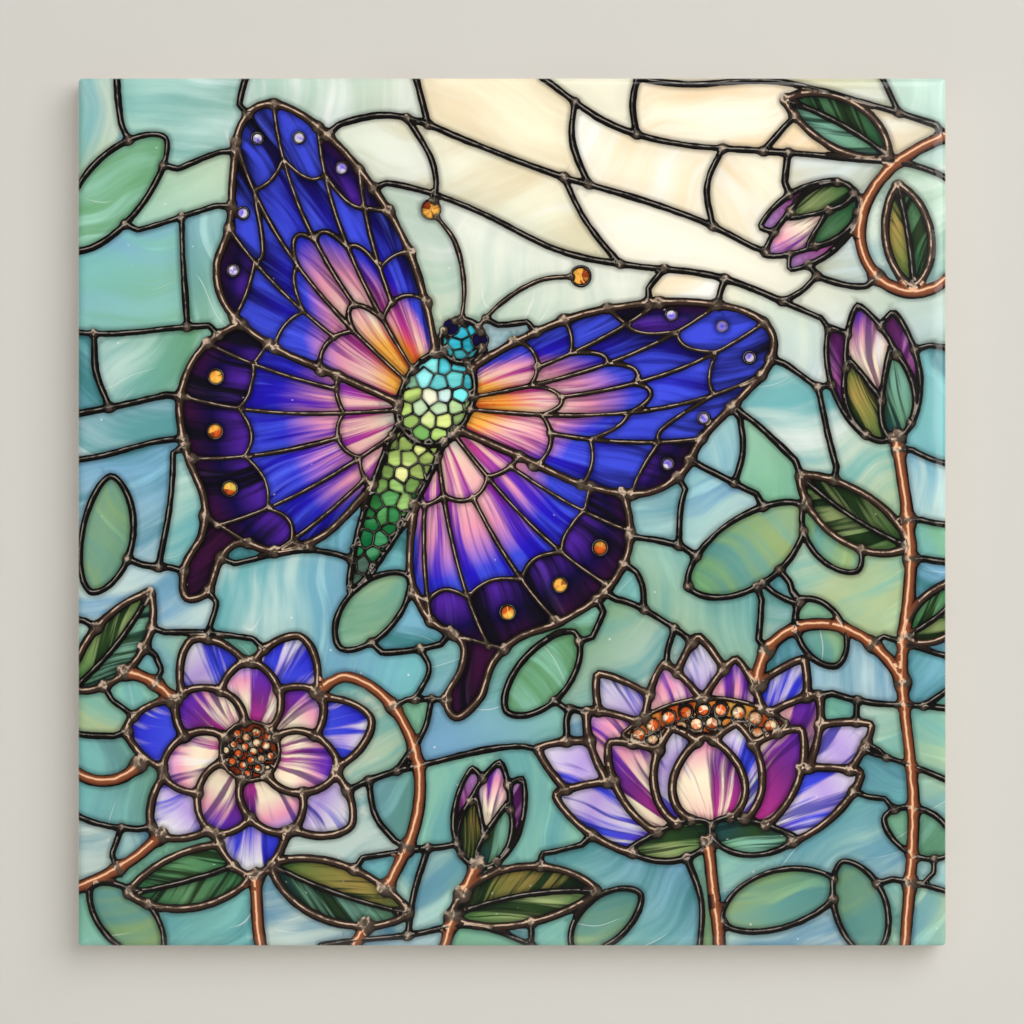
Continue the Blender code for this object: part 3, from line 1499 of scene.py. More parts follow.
@dataclass
class Picture:
    """The whole drawing, parted into triangles that follow every lead."""

    chance: Draws
    # How far into the tile a seam of the ground, and a drop of solder, has to reach
    border: float = 2.5
    joint_border: float = 0.5
    # How far round a joint its widest lead is looked for, and how far the drop stands out from it
    joint_reach: float = 0.7
    drop: float = 0.12
    copper_drop: float = 0.35
    # The rows of points beside a lead: how far from its edge, and at every how many of its points
    rows: tuple = ((0.28, 1), (0.85, 2))
    # How far points have to be from a lead's middle and the tile's edge, and filling ones from a lead
    lead_clear: float = 0.3
    edge_clear: float = 0.25
    fill_clear: float = 1.5

    def __post_init__(self) -> None:
        """Draws the figures, then keeps the stretches of line that show."""
        self.items: list[Patch | Rod] = [
            *Garden().parts(),
            *Butterfly(Place((-15, 16), -24, 0.9)).parts(self.chance),
        ]
        self.lines: list[Seam] = []
        for depth, item in enumerate(self.items, start=1):
            for line, lead in item.lines():
                self.lines += [(run, lead) for run in self.covers(depth).runs(line)]
        near = tree_of(np.vstack([line for line, _ in self.lines]))
        for line, lead in Ground().lines(self.chance):
            for run in self.covers(0).runs(line):
                kept = self.meet(run, near)
                if len(kept) > 2 and np.abs(kept).max(axis=1).min() < HALF - self.border:
                    self.lines.append((kept, lead))
        self.joints = self.soldered()

    def covers(self, depth: int) -> Covers:
        """What hides a line that is drawn before the item at this depth."""
        return Covers([item.outline for item in self.items[depth:] if isinstance(item, Patch)])

    @staticmethod
    def meet(run: Array, near: KDTree, reach: float = 2.3) -> Array:
        """Ends a seam of the ground where it first comes close to a figure.

        Without this, a seam that meets an outline at a slant runs on beside it as a second lead.

        Args:
            run: The seam's points.
            near: The points of every figure's lines.
            reach: How close counts as close, in millimetres.

        Returns:
            The seam that is left, which may have no points.
        """
        hits = [near.find((x, y, 0.0)) for x, y in run]
        clear = np.flatnonzero(np.array([hit[2] for hit in hits]) > reach)
        if len(clear) < 3:
            return run[:0]
        first, last = clear[0], clear[-1]
        points = [*run[first : last + 1]]
        if first > 0:
            points.insert(0, np.array(hits[first - 1][0][:2]))
        if last < len(run) - 1:
            points.append(np.array(hits[last + 1][0][:2]))
        return resampled(np.array(points))

    def soldered(self) -> list[tuple[Array, float]]:
        """Sets a drop of solder at each end of a line.

        Returns:
            Each drop's middle, and its radius in millimetres.
        """
        beside = tree_of(np.vstack([line for line, _ in self.lines]))
        widths = [lead.value.half for line, lead in self.lines for _ in line]
        joints = []
        for line, lead in self.lines:
            if lead is Lead.HAIR or np.allclose(line[0], line[-1]):
                continue
            for end in (line[0], line[-1]):
                if np.abs(end).max() < HALF - self.joint_border:
                    hits = beside.find_range((*end, 0.0), self.joint_reach)
                    widest = max((widths[hit[1]] for hit in hits), default=lead.value.half)
                    extra = self.copper_drop if lead is Lead.COPPER else self.drop
                    joints.append((end, widest * self.chance.uniform(1.0, 1.3) + extra))
        return joints

    def triangulate(self) -> tuple[Array, Array, Array]:
        """Parts the tile's face into triangles.

        Returns:
            The points, the triangles, and the edges that a lead follows.
        """
        self.field = LeadField(self.lines, self.joints)
        points: list[Array] = []
        edges: list[tuple[int, int]] = []
        count = 0
        for line, _ in self.lines:
            points.append(line)
            edges += [(count + k, count + k + 1) for k in range(len(line) - 1)]
            count += len(line)
        lead_edges = len(edges)
        for step in range(EASE_STEPS + 1):
            inset = EASE_WIDTH * (1 - math.cos(step / EASE_STEPS * math.pi / 2))
            loop = outline_ring(inset, RING_SPACING)
            points.append(loop)
            edges += [(count + k, count + (k + 1) % len(loop)) for k in range(len(loop))]
            count += len(loop)
        points.append(self.offsets())
        points.append(self.filling())
        found = delaunay_2d_cdt([Vector(p) for p in np.vstack(points)], edges, [], 0, 1e-4, True)
        corners = np.array([tuple(v) for v in found[0]])
        faces = np.array(found[2])
        faces = faces[edge_distance(corners[faces].mean(axis=1)) > 0]
        first = [min(origins, default=lead_edges) for origins in found[4]]
        return corners, faces, np.array(found[1])[np.array(first) < lead_edges]

    def offsets(self) -> Array:
        """Sets points beside the leads, near their edges and a little way into the glass.

        Returns:
            The points.
        """
        made = []
        for line, lead in self.lines:
            aside = left(unit(np.gradient(line, axis=0)))
            for gap, every in self.rows:
                distance = lead.value.half + gap
                for side in (-1, 1):
                    beside = line[::every] + aside[::every] * side * distance
                    made.append(beside[self.field.clear(beside) > distance * 0.86])
        for middle, radius in self.joints:
            around = ring(middle, radius + 0.15, count=11)[:-1]
            made.append(around[self.field.clear(around) > self.lead_clear])
        made.append(self.between())
        beside = np.vstack(made)
        return beside[edge_distance(beside) > self.edge_clear]

    def between(self, reach: float = 2.1, spacing: float = 0.42) -> Array:
        """Points midway between leads that run close together, so that no lead bridges the gap.

        Args:
            reach: How far apart two leads may be, in millimetres.
            spacing: The least distance between the points.

        Returns:
            The points.
        """
        middles: dict[tuple[int, int], Array] = {}
        for point, owner in zip(self.field.points, self.field.owner):
            hits = self.field.tree.find_range((*point, 0.0), reach)
            others = [hit for hit in hits if self.field.owner[hit[1]] != owner]
            if others:
                nearest = min(others, key=lambda hit: hit[2])
                middle = (point + np.array(nearest[0][:2])) / 2
                middles.setdefault(tuple(np.round(middle / spacing).astype(int)), middle)
        found = np.array(list(middles.values()))
        return found[self.field.clear(found) > self.lead_clear]

    def filling(self) -> Array:
        """Scatters points evenly over the glass.

        Returns:
            The points.
        """
        reach = np.full(2, HALF - EASE_WIDTH - 0.5)
        grid = staggered(-reach, reach, FILL_SPACING)
        grid += self.chance.uniform(-0.12, 0.12, grid.shape)
        return grid[self.field.clear(grid) > self.fill_clear]

    @staticmethod
    def panes(faces: Array, led: Array) -> Array:
        """Parts the triangles into panes.

        Args:
            faces: The triangles.
            led: The edges that a lead follows.

        Returns:
            For each triangle, the least number of a triangle in its pane.
        """
        sides = np.sort(faces[:, [0, 1, 1, 2, 2, 0]].reshape(-1, 2)) @ (faces.max() + 1, 1)
        walls = np.sort(led) @ (faces.max() + 1, 1)
        order = np.argsort(sides, kind="stable")
        ordered = sides[order]
        open_pair = (ordered[1:] == ordered[:-1]) & ~np.isin(ordered[1:], walls)
        one, two = order[:-1][open_pair] // 3, order[1:][open_pair] // 3
        pane, before = np.arange(len(faces)), None
        while before is None or (pane != before).any():
            before = pane.copy()
            least = np.minimum(pane[one], pane[two])
            np.minimum.at(pane, one, least)
            np.minimum.at(pane, two, least)
            pane = pane[pane]
        return pane

    def paint(self, corners: Array, faces: Array, pane: Array) -> dict[str, Array]:
        """Colours every pane.

        Args:
            corners: The points of the drawing.
            faces: Its triangles.
            pane: The pane of each triangle.

        Returns:
            Values for each corner of each triangle: light, deep, streak and rim, the width of the
                painted shade beside the leads.
        """
        middles = corners[faces].mean(axis=1)
        spans = corners[faces[:, 1:]] - corners[faces[:, :1]]
        areas = np.abs(np.cross(spans[:, 0], spans[:, 1])) / 2
        owner = np.full(len(faces), -1)
        for depth, item in enumerate(self.items):
            if isinstance(item, Patch):
                owner[inside(middles, item.outline)] = depth
        size = len(faces) * 3
        light, deep = np.zeros((size, 4)), np.ones((size, 4))
        streak, rim = np.zeros((size, 3)), np.zeros(size)
        ground = GroundGlass()
        order = np.argsort(pane, kind="stable")
        for members in np.split(order, np.flatnonzero(np.diff(pane[order])) + 1):
            weights = areas[members] + 1e-9
            owners = owner[members]
            votes = {key: weights[owners == key].sum() for key in set(owners.tolist())}
            winner = max(votes, key=votes.get)
            glass = ground if winner < 0 else self.items[winner].glass
            centre = np.average(middles[members], axis=0, weights=weights)
            slots = (members[:, None] * 3 + np.arange(3)).ravel()
            at = corners[faces[members].ravel()]
            chance = np.random.default_rng(SEED + int(members[0]))
            painted = glass.paint(Pane(at, centre, chance))
            light[slots, :3], deep[slots, :3], streak[slots, :2] = painted
            light[slots, 3] = glass.contrast
            streak[slots, 2] = chance.uniform(0, 50)
            rim[slots] = glass.rim
        return {"light": light, "deep": deep, "streak": streak, "rim": rim}


# Nodes


Node = bpy.types.Node
Socket = bpy.types.NodeSocket
Value = Socket | float | tuple | bpy.types.ID


class Wires:
    """Shorthand for building a node tree."""

    def __init__(self, tree: bpy.types.NodeTree) -> None:
        """Takes the tree to build in."""
        self.tree = tree

    def node(self, kind: str, feeds: dict[str | int, Value] | None = None, **settings: object) -> Node:
        """Adds a node.

        Args:
            kind: The node's type.
            feeds: What each input gets, by its name or number.
            **settings: The node's own properties, which are set first.

        Returns:
            The node.
        """
        made = self.tree.nodes.new(kind)
        for name, value in settings.items():
            setattr(made, name, value)
        for name, value in (feeds or {}).items():
            self.link(value, made.inputs[name])
        return made

    def link(self, source: Value, target: Socket) -> None:
        """Joins an output to an input, or writes a plain value into it.

        Args:
            source: The output, or the value.
            target: The input.
        """
        if isinstance(source, Socket):
            self.tree.links.new(source, target)
        else:
            target.default_value = source

    def math(self, operation: str, *values: Value, clamp: bool = False) -> Socket:
        """A maths node's result, kept from 0 to 1 if it is clamped."""
        feeds = dict(enumerate(values))
        return self.node("ShaderNodeMath", feeds, operation=operation, use_clamp=clamp).outputs[0]

    def times(self, *values: Value) -> Socket:
        """Two numbers multiplied."""
        return self.math("MULTIPLY", *values)

    def plus(self, *values: Value) -> Socket:
        """Two numbers added."""
        return self.math("ADD", *values)

    def minus(self, *values: Value) -> Socket:
        """The first number less the second."""
        return self.math("SUBTRACT", *values)

    def stretched(self, vector: Value, factors: tuple) -> Socket:
        """A vector times a factor along each axis."""
        return self.vector("MULTIPLY", vector, factors)

    def vector(self, operation: str, *values: Value) -> Socket:
        """A vector maths node's result, which is a number for DOT_PRODUCT."""
        made = self.node("ShaderNodeVectorMath", dict(enumerate(values)), operation=operation)
        return made.outputs["Value" if operation == "DOT_PRODUCT" else "Vector"]

    def scaled(self, vector: Value, factor: Value) -> Socket:
        """A vector times a number."""
        feeds = {0: vector, "Scale": factor}
        return self.node("ShaderNodeVectorMath", feeds, operation="SCALE").outputs["Vector"]

    def smooth(
        self, value: Socket, low: Value, high: Value, to_low: float = 0.0, to_high: float = 1.0
    ) -> Socket:
        """A soft step from to_low to to_high, as the value goes from low to high."""
        feeds = {"Value": value, "From Min": low, "From Max": high, "To Min": to_low, "To Max": to_high}
        return self.node("ShaderNodeMapRange", feeds, interpolation_type="SMOOTHSTEP").outputs["Result"]

    def mix(self, factor: Value, first: Value, second: Value) -> Socket:
        """A colour between the first, at 0, and the second, at 1."""
        feeds = {0: factor, 6: first, 7: second}
        return self.node("ShaderNodeMix", feeds, data_type="RGBA").outputs[2]

    def noise(
        self, vector: Value, scale: float, detail: float = 3.0, rough: float = 0.5, distort: float = 0.0
    ) -> Socket:
        """A noise from 0 to 1, with detail finer layers that are rough strong."""
        feeds = {"Scale": scale, "Detail": detail, "Roughness": rough, "Distortion": distort}
        return self.node("ShaderNodeTexNoise", {"Vector": vector, **feeds}).outputs["Fac"]

    def attribute(self, name: str, output: str) -> Socket:
        """What a named attribute holds."""
        return self.node("ShaderNodeAttribute", attribute_name=name).outputs[output]

    def millimetres(self) -> Socket:
        """The piece's own coordinates, in millimetres."""
        own = self.node("ShaderNodeTexCoord").outputs["Object"]
        return self.stretched(own, (1 / MM, 1 / MM, 1 / MM))

    def bump(self, height: Socket, distance: float) -> Socket:
        """The normal that a height gives, distance millimetres high."""
        made = self.node("ShaderNodeBump", {"Distance": distance * MM, "Height": height})
        return made.outputs["Normal"]


class Finish(Wires):
    """A new material, with its shader's inputs."""

    def __init__(self, name: str) -> None:
        """Makes the material under this name."""
        self.material = bpy.data.materials.new(name)
        self.material.use_nodes = True
        super().__init__(self.material.node_tree)
        self.shader = self.tree.nodes["Principled BSDF"]
        self.inputs = self.shader.inputs


class Group(Wires):
    """A shader group with named inputs and outputs."""

    def __init__(
        self, name: str, inputs: dict[str, float | tuple | None], outputs: dict[str, str]
    ) -> None:
        """Makes the group's sockets.

        Args:
            name: The group's name.
            inputs: Each input's name and its usual value: a number, a colour, or None for a vector.
            outputs: Each output's name and kind: Float or Color.
        """
        super().__init__(bpy.data.node_groups.new(name, "ShaderNodeTree"))
        kinds = {float: "Float", tuple: "Color", type(None): "Vector"}
        for label, value in inputs.items():
            kind = f"NodeSocket{kinds[type(value)]}"
            made = self.tree.interface.new_socket(label, in_out="INPUT", socket_type=kind)
            if value is not None:
                made.default_value = value
        for label, kind in outputs.items():
            self.tree.interface.new_socket(label, in_out="OUTPUT", socket_type=f"NodeSocket{kind}")
        self.inputs = self.node("NodeGroupInput").outputs
        self.outputs = self.node("NodeGroupOutput").inputs


def opalescent_group() -> bpy.types.NodeTree:
    """Makes streaky glass with painted shade towards the leads and a faint painted glow in the middle of
    each pane, with seeds and hairline ripples.

    Returns:
        The group.
    """
    group = Group(
        "opalescent_glass",
        {
            "Light": (1, 1, 1, 1),
            "Deep": (0.5, 0.5, 0.5, 1),
            "Contrast": 0.0,
            "Streak": None,
            "Edge": 1.0,
            "Rim": 1.6,
        },
        {"Color": "Color"},
    )
    streak, contrast = group.inputs["Streak"], group.inputs["Contrast"]
    light, deep = group.inputs["Light"], group.inputs["Deep"]
    wander = group.node("ShaderNodeTexNoise", {"Vector": streak, "Scale": 0.05, "Detail": 1.0})
    shifted = group.vector("SUBTRACT", wander.outputs["Color"], (0.5, 0.5, 0.5))
    warped = group.vector("ADD", streak, group.stretched(shifted, (7.0, 7.0, 0.0)))
    broad = group.noise(group.stretched(warped, (0.03, 0.22, 1.0)), 1.0, 2.0, 0.45)
    fine = group.noise(group.stretched(warped, (0.06, 1.05, 1.0)), 1.0, 3.0, 0.55)
    both = group.plus(group.times(broad, 0.74), group.times(fine, 0.26))
    spread = group.times(contrast, 0.075)
    low = group.plus(0.37, spread)
    high = group.minus(0.62, spread)
    colour = group.mix(group.smooth(both, low, high), deep, light)
    stroke = group.noise(group.stretched(warped, (0.045, 0.62, 1.7)), 1.0, 2.0, 0.45)
    stroke = group.times(group.smooth(stroke, 0.55, 0.66), contrast)
    inky = group.stretched(deep, (0.42, 0.40, 0.5))
    colour = group.mix(group.times(stroke, 0.85), colour, inky)
    wisp = group.noise(group.stretched(warped, (0.03, 0.5, 1.3)), 1.0, 3.0, 0.5, 0.3)
    strength = group.plus(0.4, group.times(contrast, 0.3))
    wisp = group.times(group.smooth(wisp, 0.58, 0.72), strength)
    paler = group.vector("ADD", group.scaled(light, 1.6), (0.02, 0.02, 0.02))
    colour = group.mix(wisp, colour, group.vector("MINIMUM", paler, (1.0, 0.98, 0.95)))
    ripple = group.noise(group.stretched(warped, (0.024, 0.17, 2.3)), 1.0, 0.6, 0.4)
    ripple = group.math("ABSOLUTE", group.minus(ripple, 0.5))
    where = group.noise(group.stretched(streak, (0.05, 0.07, 0.9)), 1.0, 1.0)
    plain = group.math("SUBTRACT", 0.5, contrast, clamp=True)
    ripple = group.times(group.smooth(ripple, 0.0, 0.0042, 1.0, 0.0), plain)
    ripple = group.times(ripple, group.smooth(where, 0.55, 0.62))
    colour = group.mix(ripple, colour, (0.93, 0.96, 0.94, 1.0))
    spots = group.stretched(streak, (0.8, 1.5, 1.0))
    seeds = group.node("ShaderNodeTexVoronoi", {"Vector": spots, "Scale": 0.3})
    rare = group.smooth(group.vector("DOT_PRODUCT", seeds.outputs["Color"], (1.0, 0.0, 0.0)), 0.6, 0.65)
    dots = group.times(group.smooth(seeds.outputs["Distance"], 0.03, 0.07, 1.0, 0.0), rare)
    colour = group.mix(group.times(dots, 0.5), colour, (0.95, 0.97, 0.95, 1.0))
    # Painted shade: the glass darkens towards its leads and brightens a little in the middle of the pane
    # as a painted glow, as the printed picture draws it
    rim = group.math("DIVIDE", group.inputs["Edge"], group.inputs["Rim"])
    shade = group.smooth(rim, -0.15, 0.8, 0.4, 1.0)
    inner = group.smooth(rim, 0.6, 3.0, 0.96, 1.05)
    group.link(group.scaled(colour, group.times(shade, inner)), group.outputs["Color"])
    return group.tree


def lead_group() -> bpy.types.NodeTree:
    """Makes rounded metal lines with dark flanks and a lit ridge: lead, bronze or copper, with solder.

    Returns:
        The group.
    """
    group = Group(
        "lead_line",
        {
            "Across": None,
            "Level": 1.0,
            "Edge": 1.0,
            "Copper": 0.0,
            "Position": None,
        },
        {"Color": "Color", "Mask": "Float"},
    )
    position, across = group.inputs["Position"], group.inputs["Across"]
    solder = group.vector("DOT_PRODUCT", across, (0.0, 0.0, 1.0))
    flat = group.stretched(across, (1.0, 1.0, 0.0))
    level = group.inputs["Level"]
    square = group.times(level, level)
    lumps = group.node("ShaderNodeTexNoise", {"Vector": position, "Scale": 0.55, "Detail": 2.0})
    uneven = group.vector("SUBTRACT", lumps.outputs["Color"], (0.5, 0.5, 0.5))
    uneven = group.scaled(uneven, group.plus(0.45, group.times(solder, 1.3)))
    towards = group.vector("ADD", uneven, (-0.15, 0.25, 0.0))
    lean = group.vector("DOT_PRODUCT", towards, group.vector("NORMALIZE", flat))
    out = group.minus(1.0, group.times(solder, 0.45))
    out = group.times(level, out)
    away = group.math("ABSOLUTE", group.minus(out, lean))
    coppery = group.smooth(group.inputs["Copper"], 0.5, 0.95)
    bronzed = group.smooth(group.inputs["Copper"], 0.1, 0.5)
    body = group.mix(bronzed, (0.007, 0.006, 0.005, 1.0), (0.038, 0.023, 0.016, 1.0))
    body = group.mix(coppery, body, (0.27, 0.078, 0.031, 1.0))
    body = group.mix(group.times(solder, 0.5), body, (0.17, 0.125, 0.09, 1.0))
    bright = group.mix(bronzed, (0.30, 0.265, 0.225, 1.0), (0.72, 0.53, 0.39, 1.0))
    bright = group.mix(coppery, bright, (1.0, 0.58, 0.34, 1.0))
    core = group.plus(group.times(away, 0.5), group.times(square, 0.6))
    colour = group.mix(group.smooth(core, 0.12, 1.0, 1.0, 0.0), (0.003, 0.002, 0.002, 1.0), body)
    breaks = group.smooth(group.noise(position, 0.5, 3.0, 0.6), 0.4, 0.57, 0.2, 1.0)
    breaks = group.math("MAXIMUM", breaks, coppery)
    shine = group.times(group.smooth(away, 0.02, 0.27, 1.0, 0.0), breaks)
    colour = group.mix(shine, colour, bright)
    group.link(colour, group.outputs["Color"])
    quick = group.times(group.minus(group.noise(position, 0.45, 2.0), 0.5), 0.3)
    slow = group.times(group.minus(group.noise(position, 0.11, 1.0), 0.5), 0.45)
    edge = group.plus(group.inputs["Edge"], group.plus(quick, slow))
    group.link(group.smooth(edge, -0.06, 0.08, 1.0, 0.0), group.outputs["Mask"])
    return group.tree


def orange_peel_group() -> bpy.types.NodeTree:
    """Makes the faint waviness of a fired glaze, as a height.

    Returns:
        The group.
    """
    group = Group(
        "orange_peel",
        {"Position": None, "Strength": 1.0},
        {"Height": "Float"},
    )
    slow = group.noise(group.inputs["Position"], 0.16, 2.0)
    quick = group.noise(group.inputs["Position"], 0.7, 2.0)
    both = group.plus(group.times(slow, 0.7), group.times(quick, 0.3))
    group.link(group.times(both, group.inputs["Strength"]), group.outputs["Height"])
    return group.tree


@dataclass(frozen=True)
class GlazedPrint:
    """The printed picture under its clear glaze."""

    roughness: float = 0.10
    waviness: float = 0.02
    ior: float = 1.5

    def material(self, peel: bpy.types.NodeTree) -> bpy.types.Material:
        """Builds the material.

        Args:
            peel: The group that makes the glaze's waviness.

        Returns:
            The material.
        """
        wires = Finish("glazed_print")
        edge = wires.attribute("lead_edge", "Fac")
        where = wires.millimetres()
        glass = {
            "Light": wires.attribute("glass_light", "Color"),
            "Deep": wires.attribute("glass_deep", "Color"),
            "Contrast": wires.attribute("glass_light", "Alpha"),
            "Streak": wires.attribute("streak", "Vector"),
            "Edge": edge,
            "Rim": wires.attribute("rim", "Fac"),
        }
        lead = {
            "Across": wires.attribute("lead_across", "Vector"),
            "Level": wires.attribute("lead_level", "Fac"),
            "Edge": edge,
            "Copper": wires.attribute("lead_copper", "Fac"),
            "Position": where,
        }
        pane = wires.node("ShaderNodeGroup", glass, node_tree=opalescent_group())
        line = wires.node("ShaderNodeGroup", lead, node_tree=lead_group())
        colour = wires.mix(line.outputs["Mask"], pane.outputs["Color"], line.outputs["Color"])
        wires.link(colour, wires.inputs["Base Color"])
        wavy = wires.node("ShaderNodeGroup", {"Position": where}, node_tree=peel)
        wires.link(wires.bump(wavy.outputs["Height"], self.waviness), wires.inputs["Normal"])
        wires.link(self.roughness, wires.inputs["Roughness"])
        wires.link(self.ior, wires.inputs["IOR"])
        return wires.material


@dataclass(frozen=True)
class Bisque:
    """Unglazed pressed earthenware: pale wash on its ribs, and a little glaze over its sides."""

    wash: float = 0.6
    grain_height: float = 0.12
    waviness: float = 0.02
    run: float = 1.0
    raggedness: float = 2.6

    def material(self, peel: bpy.types.NodeTree) -> bpy.types.Material:
        """Builds the material.

        Args:
            peel: The group that makes the glaze's waviness.

        Returns:
            The material.
        """
        wires = Finish("bisque_body")
        where = wires.millimetres()
        cloud = wires.smooth(wires.noise(where, 0.05, 4.0, 0.55), 0.35, 0.65)
        speck = wires.smooth(wires.noise(where, 2.4, 3.0, 0.6), 0.60, 0.72, 0.0, 0.5)
        clay = wires.mix(cloud, (0.66, 0.585, 0.49, 1), (0.76, 0.70, 0.61, 1))
        clay = wires.mix(speck, clay, (0.42, 0.33, 0.25, 1))
        depth = wires.vector("DOT_PRODUCT", where, (0.0, 1.0, 0.0))
        patchy = wires.smooth(wires.noise(where, 0.2, 4.0, 0.62), 0.40, 0.60, 0.0, self.wash)
        washed = wires.times(patchy, wires.smooth(depth, -0.14, -0.02))
        clay = wires.mix(washed, clay, (0.87, 0.85, 0.81, 1))
        ragged = wires.minus(wires.noise(where, 0.35, 3.0), 0.5)
        depth = wires.plus(depth, wires.times(ragged, self.raggedness))
        line = -THICKNESS + EASE_DROP + self.run
        glazed = wires.smooth(depth, line, line + 0.25, 1.0, 0.0)
        wires.link(wires.mix(glazed, clay, (0.80, 0.79, 0.74, 1)), wires.inputs["Base Color"])
        wires.link(wires.smooth(glazed, 0.0, 1.0, 0.86, 0.14), wires.inputs["Roughness"])
        grain = wires.noise(where, 3.5, 4.0, 0.65)
        wavy = {"Position": where, "Strength": self.waviness / self.grain_height}
        wavy = wires.node("ShaderNodeGroup", wavy, node_tree=peel).outputs["Height"]
        grain = wires.times(grain, wires.minus(1.0, glazed))
        height = wires.plus(grain, wires.times(wavy, glazed))
        wires.link(wires.bump(height, self.grain_height), wires.inputs["Normal"])
        return wires.material


# The pieces


def lofted(name: str, rings: list[Array]) -> bpy.types.Mesh:
    """Joins rings of points into one closed mesh.

    Args:
        name: The mesh's name.
        rings: Rings of as many points each, in metres, from one end to the other.

    Returns:
        The mesh, with its faces pointing out.
    """
    mesh = bmesh.new()
    loops = []
    for points in rings:
        verts = [mesh.verts.new(point) for point in points]
        loops.append([mesh.edges.new((verts[k - 1], verts[k])) for k in range(len(verts))])
    for lower, upper in zip(loops, loops[1:]):
        bmesh.ops.bridge_loops(mesh, edges=lower + upper)
    for end in (loops[0], loops[-1]):
        bmesh.ops.contextual_create(mesh, geom=end)
    bmesh.ops.recalc_face_normals(mesh, faces=mesh.faces)
    data = bpy.data.meshes.new(name)
    mesh.to_mesh(data)
    mesh.free()
    return data


def added(name: str, data: bpy.types.ID) -> bpy.types.Object:
    """A new object of the scene, at the origin."""
    made = bpy.data.objects.new(name, data)
    bpy.context.scene.collection.objects.link(made)
    return made


def to_space(points: Array, depth: Array | float) -> Array:
    """Points of the picture as places in the frame, depth millimetres behind the printed face."""
    y = np.broadcast_to(np.asarray(depth, float), (len(points),)) - THICKNESS
    return np.column_stack([points[:, 0], y, points[:, 1]]) * MM


def eased_depth(points: Array) -> Array:
    """How far the eased edge falls away behind the printed face at each point."""
    share = np.clip(edge_distance(points) / EASE_WIDTH, 0, 1)
    return EASE_DROP * (1 - np.sqrt(np.maximum(1 - (1 - share) ** 2, 0)))


@dataclass
class PrintedFace:
    """The glazed coat that carries the picture, from edge to edge."""

    picture: Picture
    slot: str = "glazed_print"
    name: str = "printed_face"

    def build(self, material: bpy.types.Material) -> bpy.types.Object:
        """Builds the coat as one closed mesh, with the picture's values on its corners.

        Args:
            material: The coat's finish.

        Returns:
            The piece.
        """
        corners, faces, led = self.picture.triangulate()
        pane = self.picture.panes(faces, led)
        values = self.picture.paint(corners, faces, pane)
        edge, level, across, copper = self.picture.field.measure(corners)
        leads = len(self.picture.lines)
        LOG.info("picture: %d panes, %d triangles, %d leads", len(set(pane)), len(faces), leads)
        mesh = bpy.data.meshes.new(self.name)
        rim = boundary(faces)
        everything = [face.tolist() for face in faces] + [rim]
        mesh.from_pydata(to_space(corners, eased_depth(corners)).tolist(), [], everything)
        for name, numbers in (("edge", edge), ("level", level), ("copper", copper)):
            self.store(mesh, f"lead_{name}", "FLOAT", "POINT", numbers)
        self.store(mesh, "lead_across", "FLOAT_VECTOR", "POINT", across)
        extra = len(rim)
        for name, key in (("glass_light", "light"), ("glass_deep", "deep")):
            colour = np.vstack([values[key], np.full((extra, 4), 0.5)])
            self.store(mesh, name, "FLOAT_COLOR", "CORNER", colour)
        streak = np.vstack([values["streak"], np.zeros((extra, 3))])
        self.store(mesh, "streak", "FLOAT_VECTOR", "CORNER", streak)
        self.store(mesh, "rim", "FLOAT", "CORNER", np.concatenate([values["rim"], np.ones(extra)]))
        self.unwrap(mesh, corners, faces, extra)
        mesh.materials.append(material)
        mesh.shade_smooth()
        mesh.set_sharp_from_angle(angle=math.radians(40))
        return added(self.name, mesh)

    @staticmethod
    def store(mesh: bpy.types.Mesh, name: str, kind: str, domain: str, values: Array) -> None:
        """Writes one attribute.

        Args:
            mesh: The mesh to write on.
            name: The attribute's name.
            kind: Its type.
            domain: What it belongs to.
            values: A row for each element.
        """
        made = mesh.attributes.new(name, kind, domain)
        key = {"FLOAT": "value", "FLOAT_VECTOR": "vector", "FLOAT_COLOR": "color"}[kind]
        made.data.foreach_set(key, np.ascontiguousarray(values, np.float32).ravel())

    @staticmethod
    def unwrap(mesh: bpy.types.Mesh, corners: Array, faces: Array, extra: int) -> None:
        """Lays the picture flat over the whole of the texture, with the hidden side in a corner.

        Args:
            mesh: The mesh to unwrap.
            corners: The picture's points.
            faces: Its triangles.
            extra: How many corners the hidden side has.
        """
        margin = 0.006
        flat = (corners[faces.ravel()] / SIDE + 0.5) * (1 - 2 * margin) + margin
        turn = np.linspace(0, 2 * math.pi, extra, endpoint=False)
        hidden = margin * (0.4 + 0.3 * steps(turn))
        layer = mesh.uv_layers.new(name="OFBake")
        layer.data.foreach_set("uv", np.vstack([flat, hidden]).astype(np.float32).ravel())


def boundary(faces: Array) -> list[int]:
    """Finds the open edge of a set of triangles.

    Args:
        faces: The triangles.

    Returns:
        The points round it, in the order that closes them.
    """
    following: dict[int, int] = {}
    sides = {(int(a), int(b)) for face in faces for a, b in zip(face, np.roll(face, -1))}
    for a, b in sides:
        if (b, a) not in sides:
            following[b] = a
    start = next(iter(sorted(following)))
    loop = [start]
    while following[loop[-1]] != start:
        loop.append(following[loop[-1]])
    return loop


